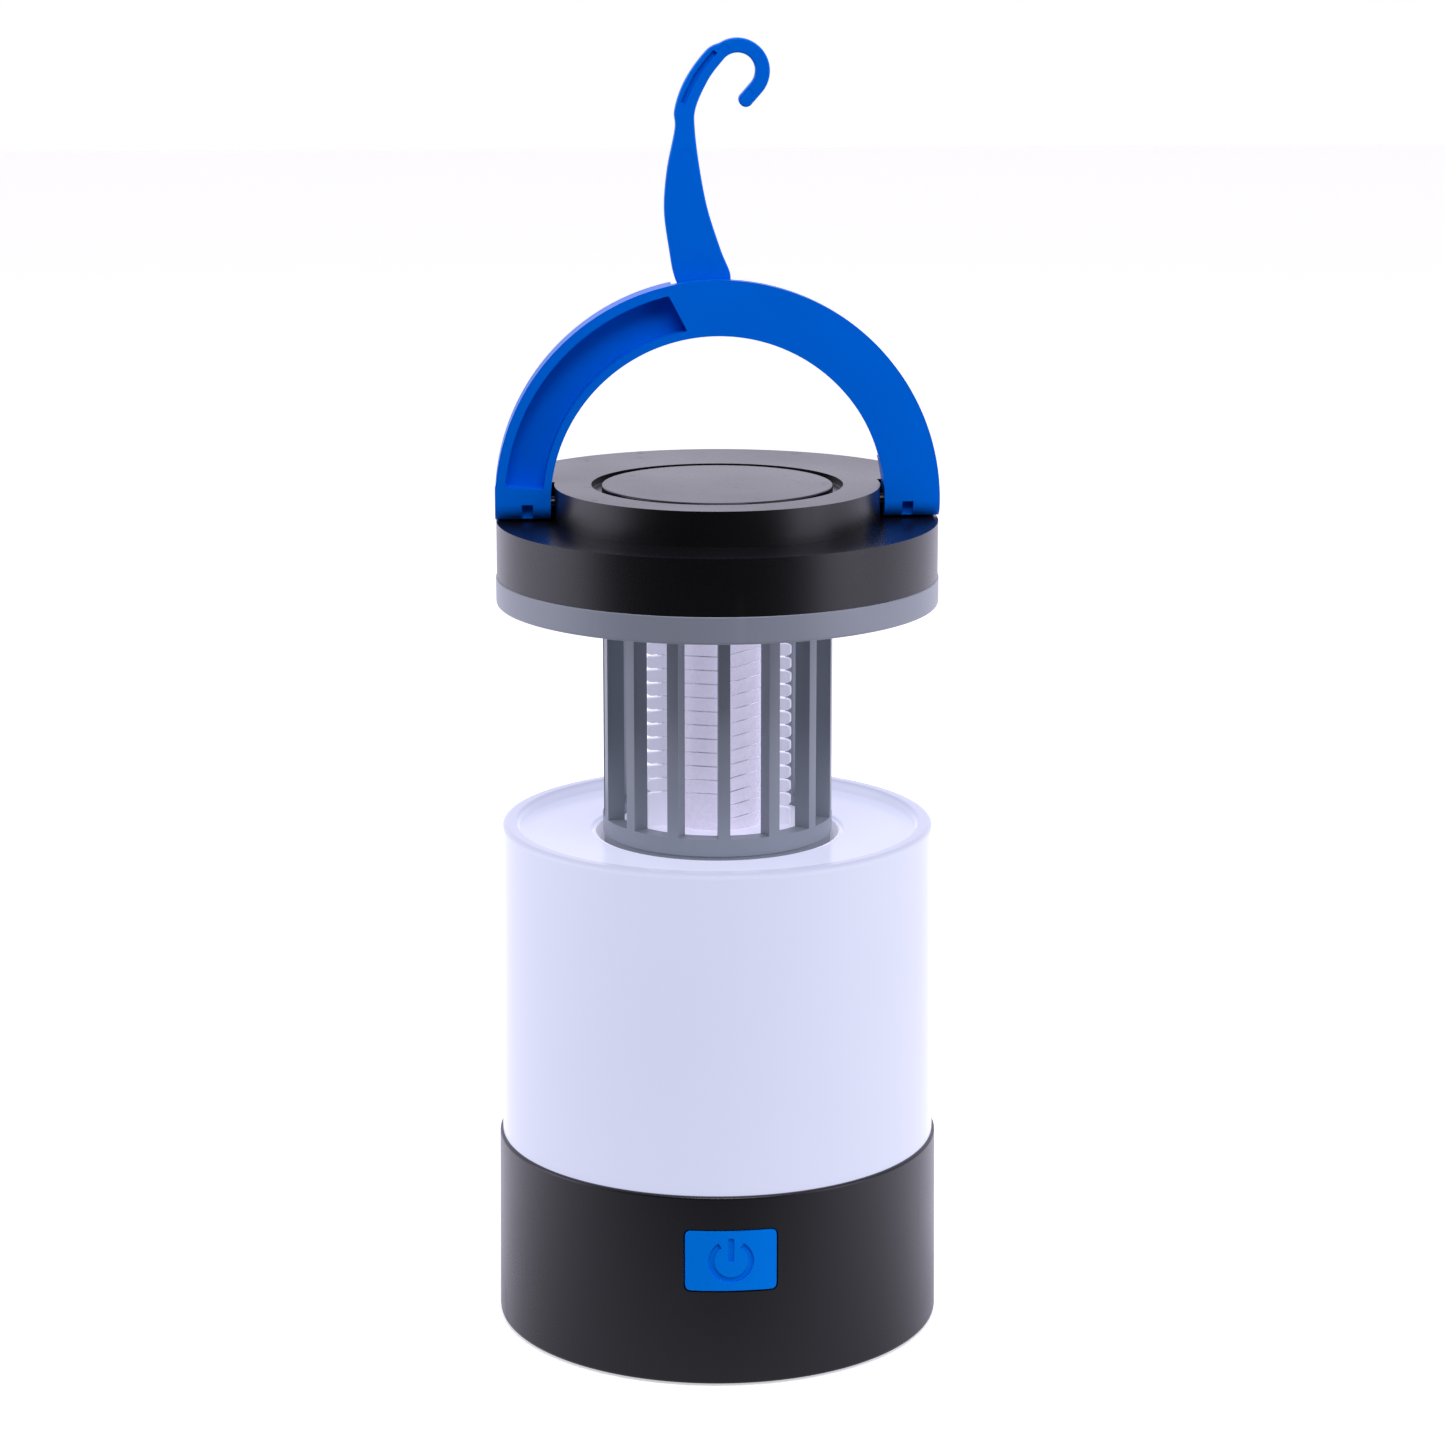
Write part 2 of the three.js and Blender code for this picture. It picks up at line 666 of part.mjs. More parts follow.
function cage() {
  const bottomRing = ring([
    [cageBore, skirtBottom],
    [cageRadius - skirtStep, skirtBottom],
    [cageRadius - skirtStep, cageBottom],
    [cageRadius, cageBottom],
    [cageRadius, cageBottom + cageRingHeight],
    [cageBore, cageBottom + cageRingHeight],
  ]);
  const flange = ring([
    [cageBore, flangeBottom],
    [flangeRadius - 0.3, flangeBottom],
    [flangeRadius, flangeBottom + 0.3],
    [flangeRadius, flangeTop],
    [flangeRadius - flangeWall, flangeTop],
    [flangeRadius - flangeWall, flangePlateTop],
    [cageBore, flangePlateTop],
  ]);
  const bars = onCircle(1, barCount, -Math.PI / 2, (x, y, angle) => box(
    [cageBore, -barWidth / 2, cageBottom + 1],
    [cageRadius, barWidth / 2, flangeBottom + 1],
  ).rotate([0, 0, THREE.MathUtils.radToDeg(angle)]));
  const shoulders = onCircle(headScrewRing, 4, Math.PI / 4, (x, y) =>
    rodZ(screwBossRadius + 0.8, x, y, flangeBottom + 1, flangeBottom + screwSink + 1.8));
  const holes = onCircle(headScrewRing, 4, Math.PI / 4, (x, y) => join(
    rodZ(screwRadius + fitGap, x, y, flangeBottom - 1, flangeTop + 1),
    rodZ(screwHeadRadius + fitGap, x, y, flangeBottom - 1, flangeBottom + screwSink),
  ));
  return cut(join(bottomRing, flange, ...bars, ...shoulders), ...holes);
}

// Closes the cage from below, and its raised rim is what stops the head under the sleeve's collar.
function cageFloor() {
  const rimInner = cageRadius - skirtStep + seatGap;
  return ring([
    [2.5, skirtBottom - stopThick],
    [stopRadius, skirtBottom - stopThick],
    [stopRadius, skirtBottom + stopHeight],
    [rimInner, skirtBottom + stopHeight],
    [rimInner, skirtBottom],
    [2.5, skirtBottom],
  ]);
}

// Height at which a winding crosses a post, counted round from the front post.
function crossing(post, turn, winding) {
  return cageBottom + wireStart + wirePitch * (winding + 2 * (turn + post / postCount));
}

// One comb post, drawn in radius and height: teeth with a slot between them for each winding.
function combPost(index) {
  const outline = new THREE.Shape();
  outline.moveTo(postInner, formerFloor - 0.5);
  outline.lineTo(postOuter, formerFloor - 0.5);
  const slots = [];
  for (let turn = 0; turn <= wireTurns; turn += 1) {
    for (const winding of [0, 1]) slots.push(crossing(index, turn, winding));
  }
  const deep = wireRing - wireRadius - 0.62;
  const half = notchWidth / 2;
  for (const z of slots.filter((level) => level < formerTop - 3)) {
    outline.lineTo(postOuter, z - half);
    outline.lineTo(deep, z - half);
    outline.lineTo(deep, z + half);
    outline.lineTo(postOuter, z + half);
  }
  outline.lineTo(postOuter, formerTop - 0.5);
  outline.lineTo(postInner, formerTop - 0.5);
  outline.closePath();
  const angle = -90 + (360 * index) / postCount;
  return plateY(outline, -postThick / 2, postThick / 2).rotate([0, 0, angle]);
}

function gridFormer() {
  const floor = tube(3, cageBore - fitGap, formerBottom, formerFloor);
  const top = tube(postInner, formerTopRadius, flangePlateTop, formerTop);
  const posts = [];
  for (let i = 0; i < postCount; i += 1) posts.push(combPost(i));
  const boardPosts = onCircle(uvPostRing, 3, Math.PI / 2, (x, y) =>
    rodZ(1.6, x, y, formerTop - 0.5, uvBoardBottom));
  return join(floor, top, ...posts, ...boardPosts);
}

function winding(which) {
  const points = [];
  for (let i = 0; i <= wireTurns * postCount; i += 1) {
    const angle = -Math.PI / 2 + (2 * Math.PI * i) / postCount;
    const z = crossing(i, 0, which);
    points.push(new THREE.Vector3(wireRing * Math.cos(angle), wireRing * Math.sin(angle), z));
  }
  return wire(points, wireRadius, 6, wireTurns * postCount);
}

function lightTube() {
  const inner = lightTubeRadius - lightTubeWall;
  return tube(inner, lightTubeRadius, formerFloor, uvBoardBottom - fitGap, midCircle);
}

function uvBoard() {
  const plate = drum(uvBoardRadius, uvBoardBottom, uvBoardBottom + 1.6, midCircle);
  const led = drum(2.6, uvBoardBottom - 1.4, uvBoardBottom + 0.5, smallCircle);
  return join(plate, led);
}

// ---- head ----

function rearHalf(radius, startY) {
  const edge = Math.asin(startY / radius);
  const shape = new THREE.Shape();
  shape.absarc(0, 0, radius, edge, Math.PI - edge, false);
  shape.closePath();
  return shape;
}

function headShell() {
  const wallIn = headRadius - headWall;
  const skirt = lathe([
    [0, flangeTop],
    [headRadius, flangeTop],
    [headRadius, ledge - headEdge],
    [headRadius - headEdge, ledge],
    [0, ledge],
  ]);
  const boss = drum(bossRadius, ledge - 1, headTop);
  const rear = plateZ(rearHalf(headRadius, rearBlockY), ledge - 1, headTop, bigCircle / 2);
  const hollow = drum(wallIn, flangeTop - 1, ledge - headWall);
  const bossHollow = drum(bossRadius - headWall, ledge - headWall - 1, headTop - 2 * headWall);
  const rearShape = rearHalf(wallIn, rearBlockY + headWall);
  const rearHollow = plateZ(rearShape, ledge - headWall - 1, headTop - 2 * headWall, bigCircle / 2);
  const shell = cut(join(skirt, boss, rear), hollow, bossHollow, rearHollow);
  const bossFoot = flangeBottom + screwSink + 1.8 + fitGap;
  const bosses = onCircle(headScrewRing, 4, Math.PI / 4, (x, y) =>
    rodZ(screwBossRadius, x, y, bossFoot, y > 0 ? headTop - headWall - 0.5 : ledge - 0.5));
  const bores = onCircle(headScrewRing, 4, Math.PI / 4, (x, y) =>
    rodZ(screwRadius + seatGap, x, y, bossFoot - 1, ledge - headWall));
  const seat = drum(discSeatRadius, headTop - discThick, headTop + 1);
  const pinHoles = [-1, 1].map((side) => {
    const [low, high] = side < 0 ? [-bossRadius - 1, -bossRadius + 6] : [bossRadius - 6, bossRadius + 1];
    return rodX(hingePinRadius + seatGap, low, high, 0, pivotZ);
  });
  return cut(join(shell, ...bosses), ...bores, seat, ...pinHoles);
}

function headDisc() {
  const bottom = headTop - discThick;
  return lathe([
    [0, bottom],
    [discRadius, bottom],
    [discRadius, headTop - 0.3],
    [discRadius - 0.3, headTop],
    [0, headTop],
  ]);
}

function hingePin(side) {
  const inner = bossRadius - hingePinTail;
  const outer = handleInner + hingePinReach;
  const [low, high] = side < 0 ? [-outer, -inner] : [inner, outer];
  return rodX(hingePinRadius, low, high, 0, pivotZ);
}

// ---- handle, with its own origin on the pivot axis ----

// The rounded-corner front pocket in the left half, whose upper end leans over.
function pocketShape() {
  const outer = handleOuter - pocketOuterWall;
  const inner = handleInner + pocketInnerWall;
  const lean = (outer - inner) * Math.tan(pocketSlant) / 2;
  const middle = (outer + inner) / 2;
  const shape = new THREE.Shape();
  shape.absarc(0, 0, outer, pocketHighAngle + lean / middle, pocketLowAngle, false);
  shape.absarc(0, 0, inner, pocketLowAngle, pocketHighAngle - lean / middle, true);
  shape.closePath();
  return shape;
}

// The open-backed recess that the hook swings through, from its own left edge round to the right leg.
function hookRecess() {
  const lean = (handleOuter - handleInner) * Math.tan(pocketSlant) / 2;
  const middle = (handleOuter + handleInner) / 2;
  const end = pocketHighAngle - recessWall / middle;
  const shape = new THREE.Shape();
  shape.absarc(0, 0, handleOuter + 3, legBlockAngle, end + (1.3 * lean) / middle, false);
  shape.absarc(0, 0, handleInner - 3, end - (1.6 * lean) / middle, legBlockAngle, true);
  shape.closePath();
  return plateY(shape, -handleThick / 2 + handlePlate, handleThick, midCircle);
}

function handleArch() {
  const half = handleThick / 2;
  const arch = plateY(arcBand(handleInner, handleOuter, 0, Math.PI), -half, half, bigCircle / 2);
  const legs = [-1, 1].map((side) => {
    const [low, high] = side < 0 ? [-handleOuter, -handleInner] : [handleInner, handleOuter];
    return rodX(half, low, high, 0, 0, midCircle);
  });
  const pocket = plateY(pocketShape(), -half - 1, -half + pocketDepth, midCircle);
  const slots = [-1, 1].map((side) => box(
    [side * legSlotX - legSlotWidth / 2, -half - 1, -half - 1],
    [side * legSlotX + legSlotWidth / 2, -half + legSlotDepth, 0],
  ));
  const pinHoles = [-1, 1].map((side) => {
    const reach = handleInner + hingePinReach + fitGap;
    const [low, high] = side < 0 ? [-reach, -handleInner + 1] : [handleInner - 1, reach];
    return rodX(hingePinRadius + playGap, low, high, 0, 0);
  });
  const rivetHole = rodY(hookPinRadius + seatGap, -half + 0.8, half, hookPivotX, hookPivotZ);
  return cut(join(arch, ...legs), pocket, hookRecess(), ...slots, ...pinHoles, rivetHole);
}

function hookPin() {
  const half = handleThick / 2;
  const shank = rodY(hookPinRadius, -half + 0.85, hookFront + hookThick + 0.4, 0, 0);
  const head = rodY(hookPinHead, hookFront + hookThick + 0.2, half, 0, 0, midCircle);
  return join(shank, head);
}

// The hook's flat outline: an eye round the pin, a tapering stem with a neck, and a curl with a round tip.
function hookShape() {
  const tipRadius = (curlOuter - curlInner) / 2;
  const curlMiddle = (curlOuter + curlInner) / 2;
  const away = Math.hypot(tipX - curlX, tipZ - curlZ);
  const turnIn = Math.atan2(tipZ - curlZ, tipX - curlX) + Math.acos(curlMiddle / away);
  const outerStart = THREE.MathUtils.degToRad(122);
  const innerEnd = THREE.MathUtils.degToRad(163);
  const curlPoint = (radius, angle) =>
    new THREE.Vector2(curlX + radius * Math.cos(angle), curlZ + radius * Math.sin(angle));
  const point = (x, z) => new THREE.Vector2(x, z);
  const shape = new THREE.Shape();
  shape.absarc(0, 0, hookEye, Math.PI * 0.93, Math.PI * 2.02, false);
  shape.splineThru([
    point(5.67, 4.4),
    point(3.72, 9.9),
    point(1.19, 17.7),
    point(-0.37, 25.5),
    point(-1.35, 33.3),
    point(-1.15, 37.6),
    point(1.38, 43.1),
    curlPoint(curlInner, innerEnd),
  ]);
  shape.absarc(curlX, curlZ, curlInner, innerEnd, turnIn, true);
  shape.absarc(tipX, tipZ, tipRadius, turnIn + Math.PI, turnIn + 2 * Math.PI, false);
  shape.absarc(curlX, curlZ, curlOuter, turnIn, outerStart, false);
  shape.splineThru([
    point(1.19, 48.8),
    point(-1.93, 45),
    point(-4.08, 41.1),
    point(-5.34, 36.8),
    point(-5.25, 33.3),
    point(-6.8, 25.5),
    point(-7.4, 17.7),
    point(-6.43, 9.9),
    point(-5.4, 4.6),
  ]);
  shape.closePath();
  return shape;
}

function hangHook() {
  const body = plateY(hookShape(), hookFront, hookFront + hookThick);
  const eye = rodY(hookPinRadius + playGap, hookFront - 1, hookFront + hookThick + 1, 0, 0);
  return cut(body, eye);
}

// ---- assembly ----

const object = new THREE.Group();

const baseGroup = new THREE.Group();
baseGroup.add(
  piece('base_shell', blackPlastic, baseShell()),
  piece('base_cover', blackPlastic, baseCover()),
  piece('power_button', bluePlastic, powerButton()),
  piece('port_cover', rubber, portCover()),
  piece('battery_holder', blackPlastic, batteryHolder()),
  piece('battery_cell', cellWrap, batteryCell()),
  piece('battery_contact_plus', steel, batteryContact(1)),
  piece('battery_contact_minus', steel, batteryContact(-1)),
  piece('main_board', boardGreen, mainBoard()),
  piece('tactile_switch', zinc, tactileSwitch()),
  piece('charging_socket', steel, chargingSocket()),
  piece('booster_coil', ferrite, boosterCoil()),
  piece('capacitor', ferrite, capacitor()),
  piece('diffuser', opalPlastic, diffuser()),
  piece('lantern_board', boardWhite, lanternBoard()),
  piece('guide_sleeve', whitePlastic, guideSleeve()),
  piece('high_voltage_lead', copperLead, highVoltageLead()),
);
onCircle(shellScrewRing, 4, Math.PI / 4, (x, y, angle, i) => {
  const shape = screw(x, y, coverBottom + screwSink - screwHeadHeight, shellScrewLength);
  baseGroup.add(piece(`base_screw_${i + 1}`, zinc, shape));
});
onCircle(footRing, 4, 0, (x, y, angle, i) => baseGroup.add(piece(`foot_${i + 1}`, rubber, foot(x, y))));

const headGroup = new THREE.Group();
headGroup.add(
  piece('cage', greyPlastic, cage()),
  piece('cage_floor', greyPlastic, cageFloor()),
  piece('grid_former', whitePlastic, gridFormer()),
  piece('electrode_wire_a', steel, winding(0)),
  piece('electrode_wire_b', steel, winding(1)),
  piece('uv_light_tube', clearPlastic, lightTube()),
  piece('uv_board', boardWhite, uvBoard()),
  piece('head_shell', blackPlastic, headShell()),
  piece('head_disc', blackPlastic, headDisc()),
  piece('hinge_pin_left', blackPlastic, hingePin(-1)),
  piece('hinge_pin_right', blackPlastic, hingePin(1)),
);
onCircle(headScrewRing, 4, Math.PI / 4, (x, y, angle, i) => {
  const shape = screw(x, y, flangeBottom + screwSink - screwHeadHeight, headScrewLength);
  headGroup.add(piece(`head_screw_${i + 1}`, zinc, shape));
});

const handleGroup = new THREE.Group();
handleGroup.position.z = pivotZ;
handleGroup.add(piece('handle', bluePlastic, handleArch()));

const hookGroup = new THREE.Group();
hookGroup.position.set(hookPivotX, 0, hookPivotZ);
hookGroup.add(piece('hang_hook', bluePlastic, hangHook()), piece('hook_pin', steel, hookPin()));
handleGroup.add(hookGroup);
headGroup.add(handleGroup);

object.add(baseGroup, headGroup);

export default object;
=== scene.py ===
"""Looks for the collapsible lantern bug zapper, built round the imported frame.

Shapes are drawn in millimetres and turned into metres when a mesh is made. Levels and outer radii come from
the boxes of the frame's nodes; what a box doesn't say, such as a bore or a wall, is a named size below.
"""

import json
import math

import bmesh
import bpy
from mathutils import Matrix, Vector


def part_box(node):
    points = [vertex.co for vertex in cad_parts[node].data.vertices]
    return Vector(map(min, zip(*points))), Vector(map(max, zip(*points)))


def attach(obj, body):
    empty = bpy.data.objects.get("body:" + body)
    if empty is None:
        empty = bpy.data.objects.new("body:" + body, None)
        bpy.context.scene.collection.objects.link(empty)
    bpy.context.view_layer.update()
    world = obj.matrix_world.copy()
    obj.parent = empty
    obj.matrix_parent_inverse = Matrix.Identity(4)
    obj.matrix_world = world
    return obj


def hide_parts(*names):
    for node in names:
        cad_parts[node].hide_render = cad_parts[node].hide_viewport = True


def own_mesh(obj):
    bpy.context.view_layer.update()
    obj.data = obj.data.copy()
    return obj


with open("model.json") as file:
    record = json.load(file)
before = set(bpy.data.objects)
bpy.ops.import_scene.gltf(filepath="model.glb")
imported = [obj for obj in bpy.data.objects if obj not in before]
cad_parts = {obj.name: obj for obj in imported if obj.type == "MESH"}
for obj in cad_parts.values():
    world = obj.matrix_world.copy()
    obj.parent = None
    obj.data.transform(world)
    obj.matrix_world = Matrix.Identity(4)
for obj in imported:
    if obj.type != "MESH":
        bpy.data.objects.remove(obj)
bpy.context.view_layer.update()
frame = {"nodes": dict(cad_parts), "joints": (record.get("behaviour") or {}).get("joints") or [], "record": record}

MM = 0.001
FINE = 192  # sides of a large round
MEDIUM = 96
SMALL = 32


def box_mm(node):
    low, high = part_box(node)
    return low / MM, high / MM


# ---- levels and radii from the frame ----
base_low, base_high = box_mm("base_shell")
drum_low, drum_high = box_mm("diffuser")
sleeve_low, sleeve_high = box_mm("guide_sleeve")
cage_low, cage_high = box_mm("cage")
floor_low, floor_high = box_mm("cage_floor")
former_low, former_high = box_mm("grid_former")
tube_low, tube_high = box_mm("uv_light_tube")
head_low, head_high = box_mm("head_shell")
disc_low, disc_high = box_mm("head_disc")
handle_low, handle_high = box_mm("handle")
hook_low, hook_high = box_mm("hang_hook")
button_low, button_high = box_mm("power_button")
flap_low, flap_high = box_mm("port_cover")
cover_low = box_mm("base_cover")[0]
joints = {joint["name"]: joint for joint in frame["joints"]}
handle_pivot = Vector(joints["handle_fold"]["pos_m"]) / MM
hook_pivot = Vector(joints["hook_swing"]["pos_m"]) / MM

# ---- sizes that the boxes don't give, in millimetres ----
BASE_TOP_RADIUS = 44.8
BASE_BORE = 42.4
DECK_DROP = 2.0
DECK_THICK = 2.0
FIT = 0.3
BUTTON_WIDTH = 18.0
BUTTON_HEIGHT = 12.3
BUTTON_CORNER = 1.2
BUTTON_LIP = 1.7
BUTTON_SKIN = 1.4
BUTTON_FACE = 45.1
SYMBOL_RADIUS = 3.9
SYMBOL_LINE = 1.2
SYMBOL_DEPTH = 0.5
DRUM_TOP_RADIUS = 43.6
DRUM_BORE = 41.5
DRUM_RIM = 3.0
DRUM_RIM_DROP = 2.0
DRUM_FACE = 1.6
WELL_RADIUS = 25.3
SPIGOT_WALL = 1.6
CAGE_RADIUS = 23.2
CAGE_DEPTH = 3.4
CAGE_RING = 3.5
BARS = 14
BAR_WIDTH = 2.35
FLANGE_HEIGHT = 5.4
FLANGE_THICK = 2.0
FLANGE_WALL = 2.6
HEAD_RADIUS = 44.0
HEAD_WALL = 2.0
LEDGE_DROP = 7.0
BOSS_RADIUS = 32.4
REAR_BLOCK_Y = 3.7
SEAT_RADIUS = 25.05
HANDLE_INNER = 33.2
HANDLE_OUTER = 44.2
HANDLE_PLATE = 2.3
HOOK_EYE = 3.6
POSTS = 5
POST_INNER = 9.5
POST_OUTER = 15.2
POST_THICK = 1.2
WIRE_RING = 12.4
WIRE_RADIUS = 0.13
WIRE_PITCH = 2.8
WIRE_TURNS = 7
WIRE_START = 4.4
TOOTH_MOUTH = 0.5
TOOTH_DEPTH = 0.8
TOOTH_SLIT = 0.2
MARK_DEPTH = 0.06
LEAD_RADIUS = 0.9
LEAD_TURNS = 5
PIN_RADIUS = 1.2
RIVET_RADIUS = 1.6
RIVET_HEAD = 3.0
LEG_SLOT_X = 37.8
LEG_SLOT_WIDTH = 2.2
LEG_SLOT_DEPTH = 1.9
ARCH_END = 101.6  # degrees round the arch where the pocket and the hook's recess end
ARCH_LEAN = 16.0  # degrees that those ends lean
RECESS_START = 14.5
POCKET_FOOT = 175.1
POCKET_DEPTH = 4.4
FOOT_RING = 33.0
FOOT_RADIUS = 5.0
FOOT_POCKET = 0.8
BOARD_POSTS = (17.0, 22.0)  # each way from the middle
VENT_RING = 15.0
STAND_RING = 21.0
SCREW_BOSS = 3.4
SCREW_BORE = 1.45
SCREW_HOLE = 1.7
SCREW_SEAT = 3.3
SCREW_RING_BASE = 38.2
SCREW_RING_HEAD = 36.4
SCREW_SINK = 2.2
SCREW_HEAD = 3.0

cage_bottom = drum_high.z - DRUM_RIM_DROP
flange_bottom = cage_high.z - FLANGE_HEIGHT
cage_bore = CAGE_RADIUS - CAGE_DEPTH
ledge = head_high.z - LEDGE_DROP
deck_top = base_high.z - DECK_DROP
button_z = (button_low.z + button_high.z) / 2


# ---- mesh helpers ----


def mesh_object(name, verts, faces, sharp=34):
    mesh = bpy.data.meshes.new(name)
    mesh.from_pydata([Vector(v) * MM for v in verts], [], faces)
    mesh.validate()
    obj = bpy.data.objects.new(name, mesh)
    bpy.context.scene.collection.objects.link(obj)
    return outward(shade(obj, sharp))


def shade(obj, sharp=34):
    obj.data.shade_smooth()
    obj.data.set_sharp_from_angle(angle=math.radians(sharp))
    return obj


def outward(obj):
    """Turns every face to point out of its closed shell."""
    work = bmesh.new()
    work.from_mesh(obj.data)
    bmesh.ops.remove_doubles(work, verts=work.verts, dist=1e-7)
    bmesh.ops.recalc_face_normals(work, faces=work.faces)
    work.to_mesh(obj.data)
    work.free()
    return obj


def soften(points, closed=True, steps=5):
    """Rounds the corners of an outline. Each point is (a, b) or (a, b, rounding)."""
    count = len(points)
    result = []
    for i, point in enumerate(points):
        here = Vector(point[:2])
        rounding = point[2] if len(point) > 2 else 0
        inner = closed or 0 < i < count - 1
        if not rounding or not inner:
            result.append(here)
            continue
        before = Vector(points[i - 1][:2]) - here
        after = Vector(points[(i + 1) % count][:2]) - here
        half = before.angle(after) / 2
        reach = min(rounding / math.tan(half), before.length * 0.49, after.length * 0.49)
        start = here + before.normalized() * reach
        end = here + after.normalized() * reach
        for k in range(steps + 1):
            t = k / steps
            result.append(start * (1 - t) ** 2 + here * 2 * t * (1 - t) + end * t * t)
    return result


def lathe(name, profile, segments=FINE, closed=True, sharp=34):
    """Turns an outline in radius and height round Z. An open outline starts and ends on the axis."""
    points = soften(profile, closed)
    verts, rows = [], []
    for r, z in points:
        if r < 1e-6:
            rows.append([len(verts)] * segments)
            verts.append((0, 0, z))
            continue
        rows.append(list(range(len(verts), len(verts) + segments)))
        for k in range(segments):
            a = 2 * math.pi * k / segments
            verts.append((r * math.cos(a), r * math.sin(a), z))
    faces = []
    pairs = list(zip(rows, rows[1:])) + ([(rows[-1], rows[0])] if closed else [])
    for low, high in pairs:
        for k in range(segments):
            n = (k + 1) % segments
            face = []
            for v in (low[k], low[n], high[n], high[k]):
                if v not in face:
                    face.append(v)
            if len(face) > 2:
                faces.append(face)
    return mesh_object(name, verts, faces, sharp)


def prism(name, outline, low, high, axis="z", sharp=34):
    """A flat outline made thick along Z (drawn in X, Y) or along Y (drawn in X, Z)."""
    count = len(outline)
    place = (lambda a, b, c: (a, b, c)) if axis == "z" else (lambda a, b, c: (a, c, b))
    verts = [place(a, b, low) for a, b in outline] + [place(a, b, high) for a, b in outline]
    faces = [list(range(count)), list(range(count, 2 * count))]
    faces += [[k, (k + 1) % count, count + (k + 1) % count, count + k] for k in range(count)]
    return mesh_object(name, verts, faces, sharp)


def inset(outline, amount):
    """The outline moved inwards by amount, each corner along its own bisector."""
    count = len(outline)
    area = sum(outline[k - 1].cross(outline[k]) for k in range(count))
    inward = 1 if area > 0 else -1
    moved = []
    for k, point in enumerate(outline):
        before = (point - outline[k - 1]).normalized()
        after = (outline[(k + 1) % count] - point).normalized()
        along = (before + after).normalized()
        moved.append(point + Vector((-along.y, along.x)) * amount * inward / max(along.dot(after), 0.6))
    return moved


def rounded_prism(name, outline, low, high, edge, steps=3):
    """A flat outline drawn in X, Z and made thick along Y, with both rims rounded."""
    count = len(outline)
    verts, rows = [], []
    turns = [math.pi / 2 * k / steps for k in range(steps + 1)]
    levels = [(edge * (1 - math.sin(a)), low + edge * (1 - math.cos(a))) for a in turns]
    levels += [(away, low + high - y) for away, y in reversed(levels)]
    for away, y in levels:
        rows.append(range(len(verts), len(verts) + count))
        verts += [(p.x, y, p.y) for p in inset(outline, away)]
    faces = [list(rows[0]), list(rows[-1])]
    for near, far in zip(rows, rows[1:]):
        faces += [[near[k - 1], near[k], far[k], far[k - 1]] for k in range(count)]
    return mesh_object(name, verts, faces)


def block(name, low, high):
    outline = [(low[0], low[1]), (high[0], low[1]), (high[0], high[1]), (low[0], high[1])]
    return prism(name, outline, low[2], high[2])


def rod(name, radius, low, high, axis="z", at=(0, 0), segments=SMALL, edge=0.0):
    """A round rod along an axis, through the other two coordinates at."""
    profile = [(0, low), (radius, low, edge), (radius, high, edge), (0, high)]
    obj = lathe(name, profile, segments, closed=False)
    turns = {
        "z": Matrix(),
        "x": Matrix.Rotation(math.pi / 2, 4, "Y"),
        "y": Matrix.Rotation(-math.pi / 2, 4, "X"),
    }
    obj.data.transform(turns[axis])
    shift = {"z": (at[0], at[1], 0), "x": (0, at[0], at[1]), "y": (at[0], 0, at[1])}[axis]
    obj.data.transform(Matrix.Translation(Vector(shift) * MM))
    return obj


def rounded_rect(width, height, corner, x=0.0, z=0.0, steps=6):
    corners = [(x + width / 2, z + height / 2), (x - width / 2, z + height / 2)]
    corners += [(x - width / 2, z - height / 2), (x + width / 2, z - height / 2)]
    return soften([(a, b, corner) for a, b in corners], steps=steps)


def arc(radius, start, end, steps, x=0.0, z=0.0):
    """Points on an arc, angles in degrees."""
    points = []
    for k in range(steps + 1):
        a = math.radians(start + (end - start) * k / steps)
        points.append(Vector((x + radius * math.cos(a), z + radius * math.sin(a))))
    return points


def spline(points, per=8):
    """A smooth curve through points, as Catmull-Rom spans."""
    result = []
    last = len(points) - 1
    for i in range(last):
        p0, p1 = Vector(points[max(i - 1, 0)]), Vector(points[i])
        p2, p3 = Vector(points[i + 1]), Vector(points[min(i + 2, last)])
        for k in range(per):
            t = k / per
            bend = (p2 - p0) * t + (2 * p0 - 5 * p1 + 4 * p2 - p3) * t * t
            result.append(p1 + 0.5 * (bend + (3 * p1 - p0 - 3 * p2 + p3) * t**3))
    result.append(Vector(points[last]))
    return result


def bake(obj):
    """Applies the object's modifiers to its mesh."""
    graph = bpy.context.evaluated_depsgraph_get()
    made = bpy.data.meshes.new_from_object(obj.evaluated_get(graph))
    obj.modifiers.clear()
    old = obj.data
    obj.data = made
    bpy.data.meshes.remove(old)
    return obj


def combine(obj, tools, how):
    """Joins, cuts or intersects obj with each tool, and removes the tools."""
    for tool in tools:
        step = obj.modifiers.new("step", "BOOLEAN")
        step.operation = how
        step.solver = "MANIFOLD"
        step.object = tool
        bake(obj)
    for tool in tools:
        bpy.data.objects.remove(tool)
    return obj


def join(obj, *tools):
    return combine(obj, tools, "UNION")


def cut(obj, *tools):
    return combine(obj, tools, "DIFFERENCE")


def keep(obj, *tools):
    return combine(obj, tools, "INTERSECT")


